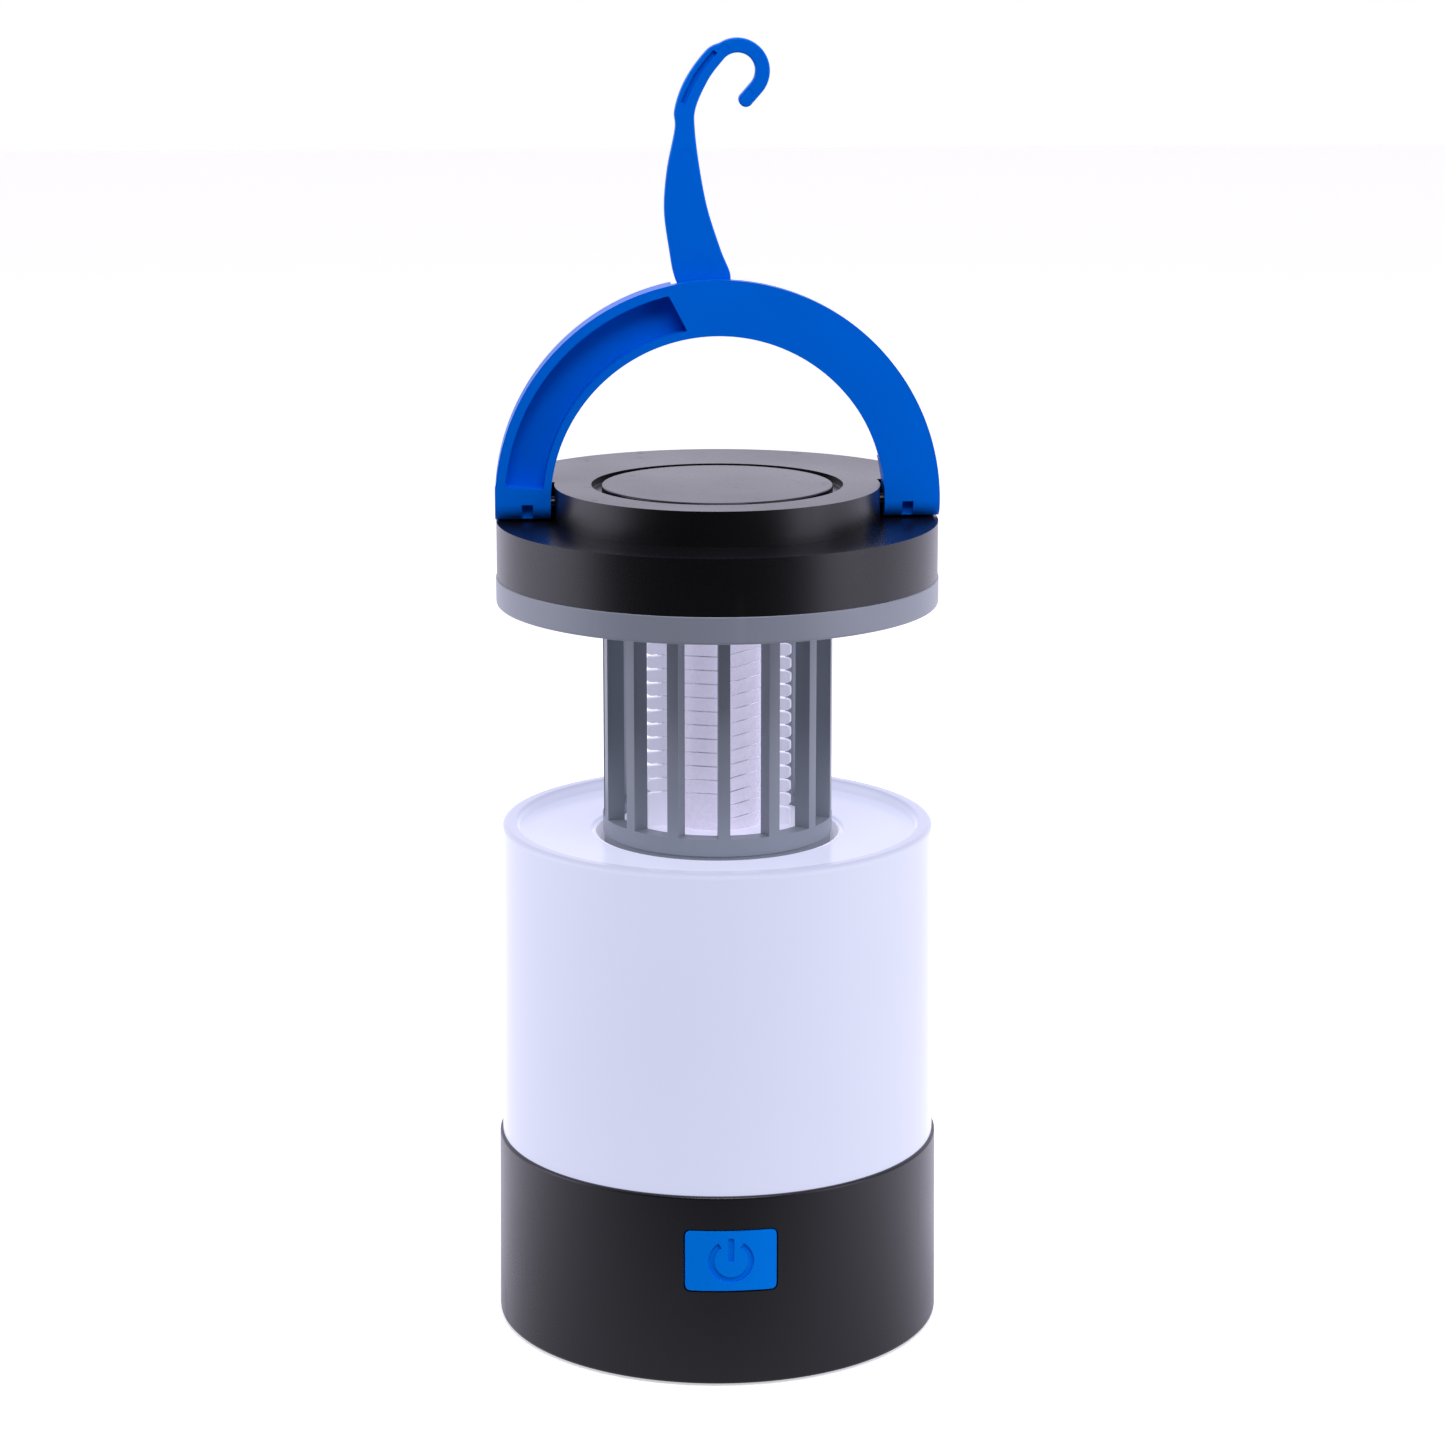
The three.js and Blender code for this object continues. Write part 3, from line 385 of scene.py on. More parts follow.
def square_normals(obj, sharp):
    """Normals that stand square on every flat, however it is cut up, and turn smoothly over the roundings."""
    work = bmesh.new()
    work.from_mesh(obj.data)
    flat_of, areas = {}, []
    for first in work.faces:
        if first.index in flat_of:
            continue
        flat_of[first.index] = len(areas)
        areas.append(0.0)
        reached = [first]
        while reached:
            face = reached.pop()
            areas[-1] += face.calc_area()
            for edge in face.edges:
                for other in edge.link_faces:
                    if other.index not in flat_of and face.normal.dot(other.normal) > 0.999998:
                        flat_of[other.index] = flat_of[first.index]
                        reached.append(other)
    around = []
    for vert in work.verts:
        flats = {flat_of[face.index]: face.normal * areas[flat_of[face.index]] for face in vert.link_faces}
        around.append(list(flats.values()))
    limit = math.cos(math.radians(sharp))
    normals = []
    for face in work.faces:
        for vert in face.verts:
            near = [flat for flat in around[vert.index] if flat.dot(face.normal) > limit * flat.length]
            total = sum(near, Vector())
            normals.append(total.normalized() if total.length > 0 else face.normal.copy())
    work.free()
    obj.data.normals_split_custom_set(normals)
    return obj


def clean_flats(obj):
    """Merges the slivers that cuts leave in a flat, and splits it again into well-shaped triangles."""
    work = bmesh.new()
    work.from_mesh(obj.data)
    bmesh.ops.dissolve_limit(work, angle_limit=math.radians(0.15), verts=work.verts, edges=work.edges)
    many_sided = [face for face in work.faces if len(face.verts) > 4]
    bmesh.ops.triangulate(work, faces=many_sided, quad_method="BEAUTY", ngon_method="BEAUTY")
    work.to_mesh(obj.data)
    work.free()
    return obj


def round_edges(obj, width, segments=3, angle=36, sharp=34):
    """Rounds every edge sharper than angle."""
    work = bmesh.new()
    work.from_mesh(obj.data)
    bmesh.ops.remove_doubles(work, verts=work.verts, dist=2e-6)
    bmesh.ops.dissolve_degenerate(work, edges=work.edges, dist=1e-6)
    work.to_mesh(obj.data)
    work.free()
    step = obj.modifiers.new("edges", "BEVEL")
    step.width = width * MM
    step.segments = segments
    step.limit_method = "ANGLE"
    step.angle_limit = math.radians(angle)
    step.use_clamp_overlap = True
    step.miter_outer = "MITER_ARC"
    return shade(bake(obj), sharp)


def spin(obj, degrees):
    obj.data.transform(Matrix.Rotation(math.radians(degrees), 4, "Z"))
    return obj


def on_circle(radius, count, start):
    """(x, y, angle in degrees) of evenly spaced places on a circle."""
    for k in range(count):
        angle = start + 360 * k / count
        yield radius * math.cos(math.radians(angle)), radius * math.sin(math.radians(angle)), angle


def tube_along(name, points, radius, sides=8):
    """A round wire along a line of points, closed at both ends."""
    verts, faces = [], []
    count = len(points)
    normal = None
    for i, point in enumerate(points):
        ahead = (points[min(i + 1, count - 1)] - points[max(i - 1, 0)]).normalized()
        if normal is None:
            normal = ahead.orthogonal().normalized()
        normal = (normal - ahead * normal.dot(ahead)).normalized()
        side = ahead.cross(normal)
        for k in range(sides):
            a = 2 * math.pi * k / sides
            verts.append(point + (normal * math.cos(a) + side * math.sin(a)) * radius)
    for i in range(count - 1):
        for k in range(sides):
            n = (k + 1) % sides
            faces.append([i * sides + k, i * sides + n, (i + 1) * sides + n, (i + 1) * sides + k])
    faces.append(list(range(sides)))
    faces.append([(count - 1) * sides + k for k in range(sides)])
    return mesh_object(name, verts, faces, 60)


# ---- materials ----


class Graph:
    """A short way to write a material's nodes."""

    def __init__(self, name):
        self.material = bpy.data.materials.new(name)
        self.material.use_nodes = True
        self.tree = self.material.node_tree
        self.shader = self.tree.nodes["Principled BSDF"]
        self.place = self.node("ShaderNodeTexCoord").outputs["Object"]

    def node(self, kind, inputs=None, **settings):
        made = self.tree.nodes.new(kind)
        for key, value in settings.items():
            setattr(made, key, value)
        for key, value in (inputs or {}).items():
            self.feed(made.inputs[key], value)
        return made

    def feed(self, socket, value):
        if isinstance(value, bpy.types.NodeSocket):
            self.tree.links.new(value, socket)
        else:
            socket.default_value = value

    def set(self, **values):
        for key, value in values.items():
            self.feed(self.shader.inputs[key.replace("_", " ")], value)

    def noise(self, scale, detail=2.0, rough=0.5, stretch=None):
        place = self.place
        if stretch:
            place = self.node("ShaderNodeMapping", {"Vector": place, "Scale": stretch}).outputs[0]
        inputs = {"Vector": place, "Scale": scale, "Detail": detail, "Roughness": rough}
        return self.node("ShaderNodeTexNoise", inputs).outputs["Fac"]

    def ramp(self, value, low, high, out_low=0.0, out_high=1.0):
        inputs = {"Value": value, "From Min": low, "From Max": high, "To Min": out_low, "To Max": out_high}
        return self.node("ShaderNodeMapRange", inputs).outputs["Result"]

    def mix(self, share, low, high):
        made = self.node("ShaderNodeMix", data_type="RGBA")
        self.feed(made.inputs[0], share)
        self.feed(made.inputs[6], low)
        self.feed(made.inputs[7], high)
        return made.outputs[2]

    def maths(self, how, a, b):
        made = self.node("ShaderNodeMath", operation=how)
        self.feed(made.inputs[0], a)
        self.feed(made.inputs[1], b)
        return made.outputs[0]

    def bump(self, height, distance, strength=1.0, before=None):
        inputs = {"Height": height, "Distance": distance, "Strength": strength}
        if before is not None:
            inputs["Normal"] = before
        return self.node("ShaderNodeBump", inputs).outputs["Normal"]


def tone(color, factor):
    return tuple(min(1.0, c * factor) for c in color[:3]) + (1.0,)


def moulded(name, color, rough, grain=0.35, grain_depth=0.000012, spread=0.12, scuffs=0.08, **sockets):
    """Moulded plastic: slow colour drift, fine spark-eroded grain and faint scuffs."""
    g = Graph(name)
    drift = g.noise(28.0, 3.0)
    speck = g.noise(1000.0 / grain, 2.0, 0.65)
    scuff = g.ramp(g.noise(260.0, 2.0, 0.5, (1.0, 1.0, 0.12)), 0.66, 0.82)
    body = g.mix(g.ramp(drift, 0.3, 0.7), tone(color, 1 - spread), tone(color, 1 + spread))
    body = g.mix(g.maths("MULTIPLY", scuff, 0.1), body, tone(color, 1.5))
    g.set(Base_Color=body)
    base = g.ramp(drift, 0.3, 0.7, rough - 0.03, rough + 0.03)
    fine = g.ramp(speck, 0.3, 0.7, -0.03, 0.03)
    worn = g.maths("MULTIPLY", scuff, scuffs)
    g.set(Roughness=g.maths("ADD", g.maths("ADD", base, fine), worn))
    wave = g.bump(g.noise(55.0, 1.0), 0.00006, 0.5)
    g.set(Normal=g.bump(speck, grain_depth, 0.6, wave))
    g.set(**sockets)
    return g.material


def opal_plastic():
    """Milky diffuser under a glossy skin, with an even painted glow (emission) in place of the light that leaks
    through it from all round, and painted shade on the top of the rim.
    """
    g = Graph("opal_plastic")
    drift = g.noise(18.0, 2.0)
    flow = g.noise(9.0, 4.0, 0.6, (1.0, 1.0, 0.2))
    body = g.mix(g.ramp(drift, 0.3, 0.7), (0.34, 0.36, 0.31, 1), (0.36, 0.38, 0.33, 1))
    body = g.mix(g.ramp(flow, 0.35, 0.7, 0.0, 0.5), body, (0.37, 0.39, 0.34, 1))
    height = g.node("ShaderNodeSeparateXYZ", {0: g.place}).outputs["Z"]
    # Painted shade: the top of the rim, which catches more light than the face, is darkened here.
    edge = g.ramp(height, drum_high.z * MM - 0.0008, drum_high.z * MM - 0.0001)
    g.set(Base_Color=g.mix(edge, body, (0.2, 0.21, 0.18, 1)))
    g.set(Roughness=g.ramp(g.noise(700.0, 3.0), 0.3, 0.7, 0.16, 0.22))
    # Painted glow: emission in place of the light that leaks through the milky plastic.
    g.set(Emission_Color=g.mix(drift, (0.43, 0.445, 0.65, 1), (0.45, 0.465, 0.67, 1)), Emission_Strength=0.95)
    wave = g.bump(g.noise(30.0, 1.0), 0.0001, 0.25)
    g.set(Normal=g.bump(g.noise(2200.0, 1.0), 0.000002, 0.3, wave))
    g.set(Specular_IOR_Level=0.08)
    return g.material


def light_pipe():
    """Frosted light pipe, with a painted glow (emission) in place of the light that it gathers."""
    g = Graph("light_pipe")
    flow = g.noise(60.0, 3.0, 0.6, (1.0, 1.0, 0.25))
    g.set(Base_Color=g.mix(flow, (0.60, 0.57, 0.66, 1), (0.68, 0.65, 0.72, 1)))
    g.set(Roughness=g.ramp(g.noise(900.0, 2.0), 0.3, 0.7, 0.22, 0.34))
    # Painted glow: this emission stands in for the light that the pipe gathers.
    g.set(Emission_Color=(0.6, 0.58, 0.76, 1), Emission_Strength=0.44)
    g.set(Normal=g.bump(g.noise(1500.0, 2.0), 0.00001, 0.5), IOR=1.49)
    return g.material


def metal(name, color, rough, stretch=(1.0, 1.0, 14.0), lines=500.0):
    """Drawn or plated metal: fine lines along the work, and a little dulling."""
    g = Graph(name)
    drawn = g.noise(lines, 3.0, 0.6, stretch)
    dull = g.noise(120.0, 4.0)
    g.set(Base_Color=g.mix(g.ramp(dull, 0.35, 0.7), tone(color, 0.88), tone(color, 1.05)))
    shine = g.ramp(drawn, 0.3, 0.7, rough - 0.06, rough + 0.08)
    g.set(Roughness=g.maths("ADD", shine, g.ramp(dull, 0.5, 0.8, 0, 0.08)))
    g.set(Metallic=1.0, Normal=g.bump(drawn, 0.000006, 0.4))
    return g.material


def soft_rubber():
    g = Graph("black_rubber")
    speck = g.noise(1800.0, 4.0, 0.7)
    dust = g.ramp(g.noise(90.0, 5.0, 0.7), 0.5, 0.75)
    g.set(Base_Color=g.mix(dust, (0.012, 0.012, 0.013, 1), (0.03, 0.03, 0.032, 1)))
    g.set(Roughness=g.ramp(speck, 0.3, 0.7, 0.66, 0.82))
    g.set(Normal=g.bump(speck, 0.00003, 0.6))
    return g.material


def circuit_board(name, mask, copper):
    """Solder mask over copper tracks, with a slightly raised pattern."""
    g = Graph(name)
    lines = g.node("ShaderNodeTexBrick", {"Vector": g.place, "Scale": 160.0, "Mortar Size": 0.03})
    lines.offset = 0.5
    tracks = lines.outputs["Fac"]
    weave = g.noise(1500.0, 2.0)
    body = g.mix(tracks, mask, copper)
    g.set(Base_Color=g.mix(g.ramp(weave, 0.3, 0.7, 0.0, 0.15), body, tone(mask, 1.4)))
    g.set(Roughness=g.ramp(weave, 0.3, 0.7, 0.3, 0.42))
    g.set(Normal=g.bump(tracks, 0.00003, 0.7), Coat_Weight=0.4, Coat_Roughness=0.2)
    return g.material


blue_skin = {
    "grain_depth": 0.000006,
    "spread": 0.04,
    "scuffs": 0.05,
    "Specular_Tint": (0.0, 0.45, 1.0, 1),
    "Specular_IOR_Level": 0.25,
}
# Painted light: the pale parts glow (emission) so that the gap round the cage ring and the grid's comb don't fall
# into shade.
painted_glow = {"Emission_Color": (0.6, 0.6, 0.76, 1), "Emission_Strength": 0.4}
materials = {
    "black_plastic": moulded("black_plastic", (0.003, 0.0028, 0.0032), 0.3, spread=0.2),
    "blue_plastic": moulded("blue_plastic", (0.0, 0.155, 0.75), 0.36, **blue_skin),
    "blue_button": moulded("blue_button", (0.0, 0.22, 0.84), 0.4, **blue_skin),
    "grey_plastic": moulded("grey_plastic", (0.25, 0.28, 0.31), 0.36, spread=0.04),
    "white_plastic": moulded("white_plastic", (0.76, 0.76, 0.82), 0.34, spread=0.03, **painted_glow),
    "opal_plastic": opal_plastic(),
    "light_pipe": light_pipe(),
    "bare_steel": metal("bare_steel", (0.72, 0.72, 0.75), 0.2),
    "zinc": metal("zinc", (0.5, 0.51, 0.54), 0.32, (1.0, 1.0, 1.0), 300.0),
    "black_rubber": soft_rubber(),
    "circuit_board": circuit_board("circuit_board", (0.015, 0.12, 0.045, 1), (0.03, 0.2, 0.075, 1)),
    "white_board": circuit_board("white_board", (0.78, 0.78, 0.76, 1), (0.7, 0.7, 0.66, 1)),
    "cell_wrap": moulded("cell_wrap", (0.03, 0.2, 0.1), 0.3, grain=0.8, scuffs=0.15),
    "dark_core": moulded("dark_core", (0.045, 0.04, 0.038), 0.55, grain=0.25),
    "lead_sleeve": moulded("lead_sleeve", (0.45, 0.03, 0.02), 0.5, grain=0.3),
}
node_slots = {part["node"]: part["material_slot"] for part in frame["record"]["subparts"]}
for node_name, node in frame["nodes"].items():
    node.data.materials.clear()
    node.data.materials.append(materials[node_slots[node_name]])
    shade(node, 40)


def finish_piece(obj, body, slot_name, *nodes, finish=None, sharp=34):
    """Gives a piece clean normals, its material and its body, and lets it stand for its CAD nodes."""
    shade(clean_flats(obj), sharp)
    square_normals(obj, sharp)
    obj.data.materials.clear()
    obj.data.materials.append(materials[finish or slot_name])
    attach(obj, body)
    if nodes:
        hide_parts(*nodes)
    return obj


# ---- camera ----
CAMERA_DISTANCE = 755.0
CAMERA_HEIGHT = 299.5
CAMERA_TURN = math.radians(-3.5)
CAMERA_PITCH = math.radians(13.05)
CAMERA_SIDE = 1.05
camera_data = bpy.data.cameras.new("camera")
camera_data.sensor_width = 36.0
camera_data.lens = 95.67
camera_data.clip_start = 0.01
camera = bpy.data.objects.new("camera", camera_data)
bpy.context.scene.collection.objects.link(camera)
camera.location = (
    (math.sin(CAMERA_TURN) * CAMERA_DISTANCE + math.cos(CAMERA_TURN) * CAMERA_SIDE) * MM,
    (-math.cos(CAMERA_TURN) * CAMERA_DISTANCE + math.sin(CAMERA_TURN) * CAMERA_SIDE) * MM,
    CAMERA_HEIGHT * MM,
)
camera.rotation_euler = (math.pi / 2 - CAMERA_PITCH, 0, CAMERA_TURN)
bpy.context.scene.camera = camera


# ---- base ----


def base_body():
    bottom, top = base_low.z, base_high.z
    rim = BASE_BORE - FIT
    obj = lathe(
        "base_body",
        [
            (0, deck_top - DECK_THICK),
            (BASE_BORE, deck_top - DECK_THICK, 0.6),
            (BASE_BORE, bottom, 0.3),
            (base_high.x, bottom, 0.8),
            (BASE_TOP_RADIUS, top, 0.55),
            (rim, top, 0.3),
            (rim, deck_top, 0.2),
            (0, deck_top),
        ],
        closed=False,
    )
    roof = deck_top - DECK_THICK + 0.4
    foot = cover_low.z + SCREW_SINK + DECK_THICK + FIT
    for x, y, _ in on_circle(SCREW_RING_BASE, 4, 45):
        join(obj, rod("boss", SCREW_BOSS, foot, roof, at=(x, y)))
        cut(obj, rod("bore", SCREW_BORE, foot - 1, foot + 11, at=(x, y)))
    window = rounded_rect(BUTTON_WIDTH + 2 * FIT, BUTTON_HEIGHT + 2 * FIT, BUTTON_CORNER + FIT, 0, button_z)
    half = flap_high.x + FIT
    floor = flap_high.y - 3.3 + 1.6 - FIT / 2
    tall = flap_high.z - flap_low.z + 2 * FIT
    recess = rounded_rect(2 * half, tall, 1.0, 0, (flap_high.z + flap_low.z) / 2)
    port = rounded_rect(9.6, 4.0, 1.2, 0, button_z)
    cut(
        obj,
        prism("window", window, -base_high.x - 1, -BASE_BORE + 4, "y"),
        prism("recess", recess, floor, base_high.x + 1, "y"),
        prism("port", port, BASE_BORE - 3, base_high.x + 1, "y"),
        rod("lead_hole", 2.5, deck_top - 5, deck_top + 1),
    )
    round_edges(obj, 0.22, 2)
    return finish_piece(obj, "base", "black_plastic", "base_shell")


def power_key():
    outline = rounded_rect(BUTTON_WIDTH, BUTTON_HEIGHT, BUTTON_CORNER, 0, button_z)
    lip = rounded_rect(BUTTON_WIDTH + 2 * BUTTON_LIP, BUTTON_HEIGHT + 2 * BUTTON_LIP, 2.6, 0, button_z)
    back = BASE_BORE - FIT - BUTTON_SKIN
    low, high = button_z - 14, button_z + 14
    obj = prism("power_key", outline, -BUTTON_FACE - 1, -back + 4, "y")
    keep(obj, rod("face", BUTTON_FACE, low, high, segments=2 * FINE))
    round_edges(obj, 0.5, 4)
    flange = prism("flange", lip, -BUTTON_FACE, -back + 4, "y")
    keep(flange, rod("inside", BASE_BORE - FIT, low, high, segments=2 * FINE))
    join(obj, flange)
    cut(obj, rod("hollow", back, low - 1, high + 1, segments=2 * FINE))
    ring = arc(SYMBOL_RADIUS + SYMBOL_LINE / 2, 90 + 34, 450 - 34, 40, 0, button_z)
    ring += arc(SYMBOL_RADIUS - SYMBOL_LINE / 2, 450 - 34, 90 + 34, 40, 0, button_z)
    bar = rounded_rect(SYMBOL_LINE, 4.9, SYMBOL_LINE / 2.2, 0, button_z + 2.3)
    depth = rod("depth", BUTTON_FACE - SYMBOL_DEPTH, low - 2, high + 2, segments=2 * FINE)
    symbol = join(prism("symbol", ring, -60, -30, "y"), prism("bar", bar, -60, -30, "y"))
    cut(symbol, depth)
    cut(obj, symbol)
    join(obj, rod("stem", 1.4, -back - 0.5, button_high.y, "y", (0, button_z)))
    round_edges(obj, 0.12, 2)
    return finish_piece(obj, "power_button", "blue_plastic", "power_button", finish="blue_button")


def port_flap():
    pivot = Vector(joints["port_cover_open"]["pos_m"]) / MM
    half = flap_high.x
    back = pivot.y - 0.7
    outline = rounded_rect(2 * half, flap_high.z - flap_low.z, 1.0, 0, (flap_high.z + flap_low.z) / 2)
    obj = prism("port_flap", outline, back, BASE_TOP_RADIUS + 1, "y")
    keep(obj, rod("skin", BASE_TOP_RADIUS, 0, 50, segments=2 * FINE))
    round_edges(obj, 0.3, 3)
    tongue = rounded_rect(7.8, 2.6, 0.9, 0, button_z)
    join(obj, prism("tongue", tongue, back - 1.6, back + 0.3, "y"))
    for k in range(3):
        z = button_z + 2.2 + 0.65 * k
        join(obj, rod("grip", 0.25, -2.4, 2.4, "x", (BASE_TOP_RADIUS - 0.02, z), 12))
    return finish_piece(obj, "port_cover", "black_rubber", "port_cover")


def base_plate():
    bottom, top = cover_low.z, cover_low.z + 2.0
    radius = BASE_BORE - FIT
    obj = lathe(
        "base_plate",
        [
            (0, bottom),
            (26, bottom),
            (26.4, bottom + 0.4, 0.2),
            (27.6, bottom + 0.4, 0.2),
            (28, bottom),
            (radius, bottom, 0.4),
            (radius, top, 0.2),
            (0, top),
        ],
        closed=False,
    )
    board_low, board_high = box_mm("main_board")
    for x, y, _ in on_circle(SCREW_RING_BASE, 4, 45):
        collar = rod("collar", 3.8, bottom + 0.6, bottom + SCREW_SINK + 2, at=(x, y))
        join(obj, keep(collar, rod("inside", radius - 0.1, 0, 40, segments=FINE)))
        sink = rod("sink", SCREW_SEAT, -1, bottom + SCREW_SINK, at=(x, y))
        cut(obj, rod("hole", SCREW_HOLE, -1, 20, at=(x, y)), sink)
    for x in (-BOARD_POSTS[0], BOARD_POSTS[0]):
        for y in (-BOARD_POSTS[1], BOARD_POSTS[1]):
            join(obj, rod("post", 2.6, top - 0.4, board_low.z, at=(x, y)))
            join(obj, rod("stake", 1.2, board_low.z - 0.4, board_high.z + 1, at=(x, y)))
    for x, y, _ in on_circle(FOOT_RING, 4, 0):
        cut(obj, rod("pocket", FOOT_RADIUS + 0.05, -1, bottom + FOOT_POCKET, at=(x, y), segments=64))
    round_edges(obj, 0.2, 2)
    return finish_piece(obj, "base", "black_plastic", "base_cover")


def screws(kind, body, ring):
    """Pan-head screws with a cross recess, seen from below."""
    for number, (x, y, _) in enumerate(on_circle(ring, 4, 45), 1):
        node = f"{kind}_screw_{number}"
        low, high = box_mm(node)
        top = low.z + 1.9
        thread = [(0, high.z), (0.5, high.z - 0.9)]
        for k in range(12):
            z = high.z - 1.2 - 0.72 * k
            thread += [(1.4, z), (1.1, z - 0.36)]
        profile = [(0, low.z), (SCREW_HEAD, low.z, 1.1), (SCREW_HEAD, top, 0.2), (1.1, top)] + thread[::-1]
        obj = lathe(f"{kind}_screw_fine_{number}", profile, SMALL, closed=False, sharp=50)
        for turn in (0, 90):
            slot = block("slot", (-1.7, -0.35, low.z - 1), (1.7, 0.35, low.z + 1.0))
            cut(obj, spin(slot, turn + 23 * number))
        obj.data.transform(Matrix.Translation(Vector((x, y, 0)) * MM))
        finish_piece(obj, body, "zinc", node)


def feet():
    for number, (x, y, _) in enumerate(on_circle(FOOT_RING, 4, 0), 1):
        low, high = box_mm(f"foot_{number}")
        groove = [(3.2, low.z), (3.5, low.z + 0.25, 0.1), (3.9, low.z, 0.1)]
        rim = [(FOOT_RADIUS, low.z, 0.5), (FOOT_RADIUS, high.z)]
        profile = [(0, low.z), *groove, *rim, (0, high.z)]
        obj = lathe(f"foot_fine_{number}", profile, 64, closed=False)
        obj.data.transform(Matrix.Translation(Vector((x, y, 0)) * MM))
        finish_piece(obj, "base", "black_rubber", f"foot_{number}")


# ---- lantern drum ----


def opal_drum():
    low, top = drum_low.z, drum_high.z
    shelf = base_high.z
    face = top - DRUM_RIM_DROP
    spigot = BASE_BORE - 2 * FIT
    under = face - DRUM_FACE
    obj = lathe(
        "opal_drum",
        [
            (spigot - SPIGOT_WALL, low),
            (spigot, low, 0.4),
            (spigot, shelf),
            (drum_high.x, shelf, 0.25),
            (DRUM_TOP_RADIUS, top, 1.3),
            (DRUM_TOP_RADIUS - DRUM_RIM, top, 0.7),
            (DRUM_TOP_RADIUS - DRUM_RIM - 0.5, face, 0.8),
            (WELL_RADIUS, face, 0.7),
            (WELL_RADIUS, under, 0.3),
            (DRUM_BORE, under, 0.9),
            (DRUM_BORE, shelf + 1.6),
            (spigot - SPIGOT_WALL, shelf + 0.6),
        ],
        sharp=50,
    )
    return finish_piece(obj, "base", "opal_plastic", "diffuser")


def well_sleeve():
    bore = floor_high.x + FIT
    outer = sleeve_high.x
    neck = WELL_RADIUS - FIT
    collar = CAGE_RADIUS + 0.45
    shoulder = drum_high.z - DRUM_RIM_DROP - DRUM_FACE - FIT
    top = sleeve_high.z
    obj = lathe(
        "well_sleeve",
        [
            (bore, sleeve_low.z),
            (outer, sleeve_low.z, 0.3),
            (outer, shoulder, 0.4),
            (neck, shoulder, 0.3),
            (neck, top, 0.2),
            (neck - 0.4, top, 0.2),
            (collar, top - 1.6, 0.6),
            (collar, top - 5.0, 0.3),
            (bore, top - 5.0, 0.2),
        ],
    )
    return finish_piece(obj, "base", "white_plastic", "guide_sleeve")


def coiled_lead():
    """The lead from the booster up to the grid, drawn as a fixed coil; the real lead gathers up as the head goes
    down.
    """
    low, high = box_mm("high_voltage_lead")
    ring = high.x - LEAD_RADIUS
    bottom, top = low.z + LEAD_RADIUS, high.z - LEAD_RADIUS
    steps = 48 * LEAD_TURNS
    path = []
    for k in range(steps + 1):
        a = 2 * math.pi * k / 48
        path.append(Vector((ring * math.cos(a), ring * math.sin(a), bottom + (top - bottom) * k / steps)))
    obj = tube_along("coiled_lead", path, LEAD_RADIUS, 12)
    finish_piece(obj, "base", "lead_sleeve", "high_voltage_lead")
    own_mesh(obj)


# ---- cage and grid ----


def cage_body():
    skirt_radius = CAGE_RADIUS - 0.3
    obj = lathe(
        "cage_body",
        [
            (cage_bore, cage_low.z, 0.2),
            (skirt_radius, cage_low.z, 0.3),
            (skirt_radius, cage_bottom),
            (CAGE_RADIUS, cage_bottom, 0.25),
            (CAGE_RADIUS, cage_bottom + CAGE_RING),
            (cage_bore, cage_bottom + CAGE_RING),
        ],
    )
    flange = lathe(
        "flange",
        [
            (cage_bore, flange_bottom),
            (cage_high.x, flange_bottom, 0.6),
            (cage_high.x, cage_high.z, 0.25),
            (cage_high.x - FLANGE_WALL, cage_high.z),
            (cage_high.x - FLANGE_WALL, flange_bottom + FLANGE_THICK, 0.5),
            (cage_bore, flange_bottom + FLANGE_THICK, 0.2),
        ],
    )
    for x, y, _ in on_circle(SCREW_RING_HEAD, 4, 45):
        join(flange, rod("collar", 4.2, flange_bottom + 1, flange_bottom + SCREW_SINK + 1.8, at=(x, y)))
        sink = rod("sink", SCREW_SEAT, flange_bottom - 1, flange_bottom + SCREW_SINK, at=(x, y))
        cut(flange, rod("hole", SCREW_HOLE, flange_bottom - 1, cage_high.z, at=(x, y)), sink)
    for _, _, angle in on_circle(1, BARS, -90):
        low = (cage_bore - 1, -BAR_WIDTH / 2, cage_bottom + CAGE_RING - 1)
        bar = block("bar", low, (CAGE_RADIUS + 1, BAR_WIDTH / 2, flange_bottom + 1))
        keep(bar, lathe("wall", [(cage_bore, 90), (CAGE_RADIUS, 90), (CAGE_RADIUS, 170), (cage_bore, 170)]))
        join(obj, spin(bar, angle))
    join(obj, flange)
    round_edges(obj, 0.22, 2)
    return finish_piece(obj, "head", "grey_plastic", "cage")


def cage_tray():
    low, high = floor_low.z, floor_high.z
    rim = CAGE_RADIUS - 0.25
    obj = lathe(
        "cage_tray",
        [
            (2.5, low),
            (floor_high.x, low, 0.5),
            (floor_high.x, high, 0.4),
            (rim, high, 0.2),
            (rim, low + 1.5),
            (2.5, low + 1.5),
        ],
    )
    for x, y, _ in on_circle(VENT_RING, 6, 0):
        cut(obj, rod("vent", 1.5, low - 1, low + 3, at=(x, y), segments=24))
    round_edges(obj, 0.15, 2)
    return finish_piece(obj, "head", "grey_plastic", "cage_floor")


def crossing(post, turn, winding):
    """Height at which a winding crosses a post, counted round from the front post."""
    return cage_bottom + WIRE_START + WIRE_PITCH * (winding + 2 * (turn + post / POSTS))


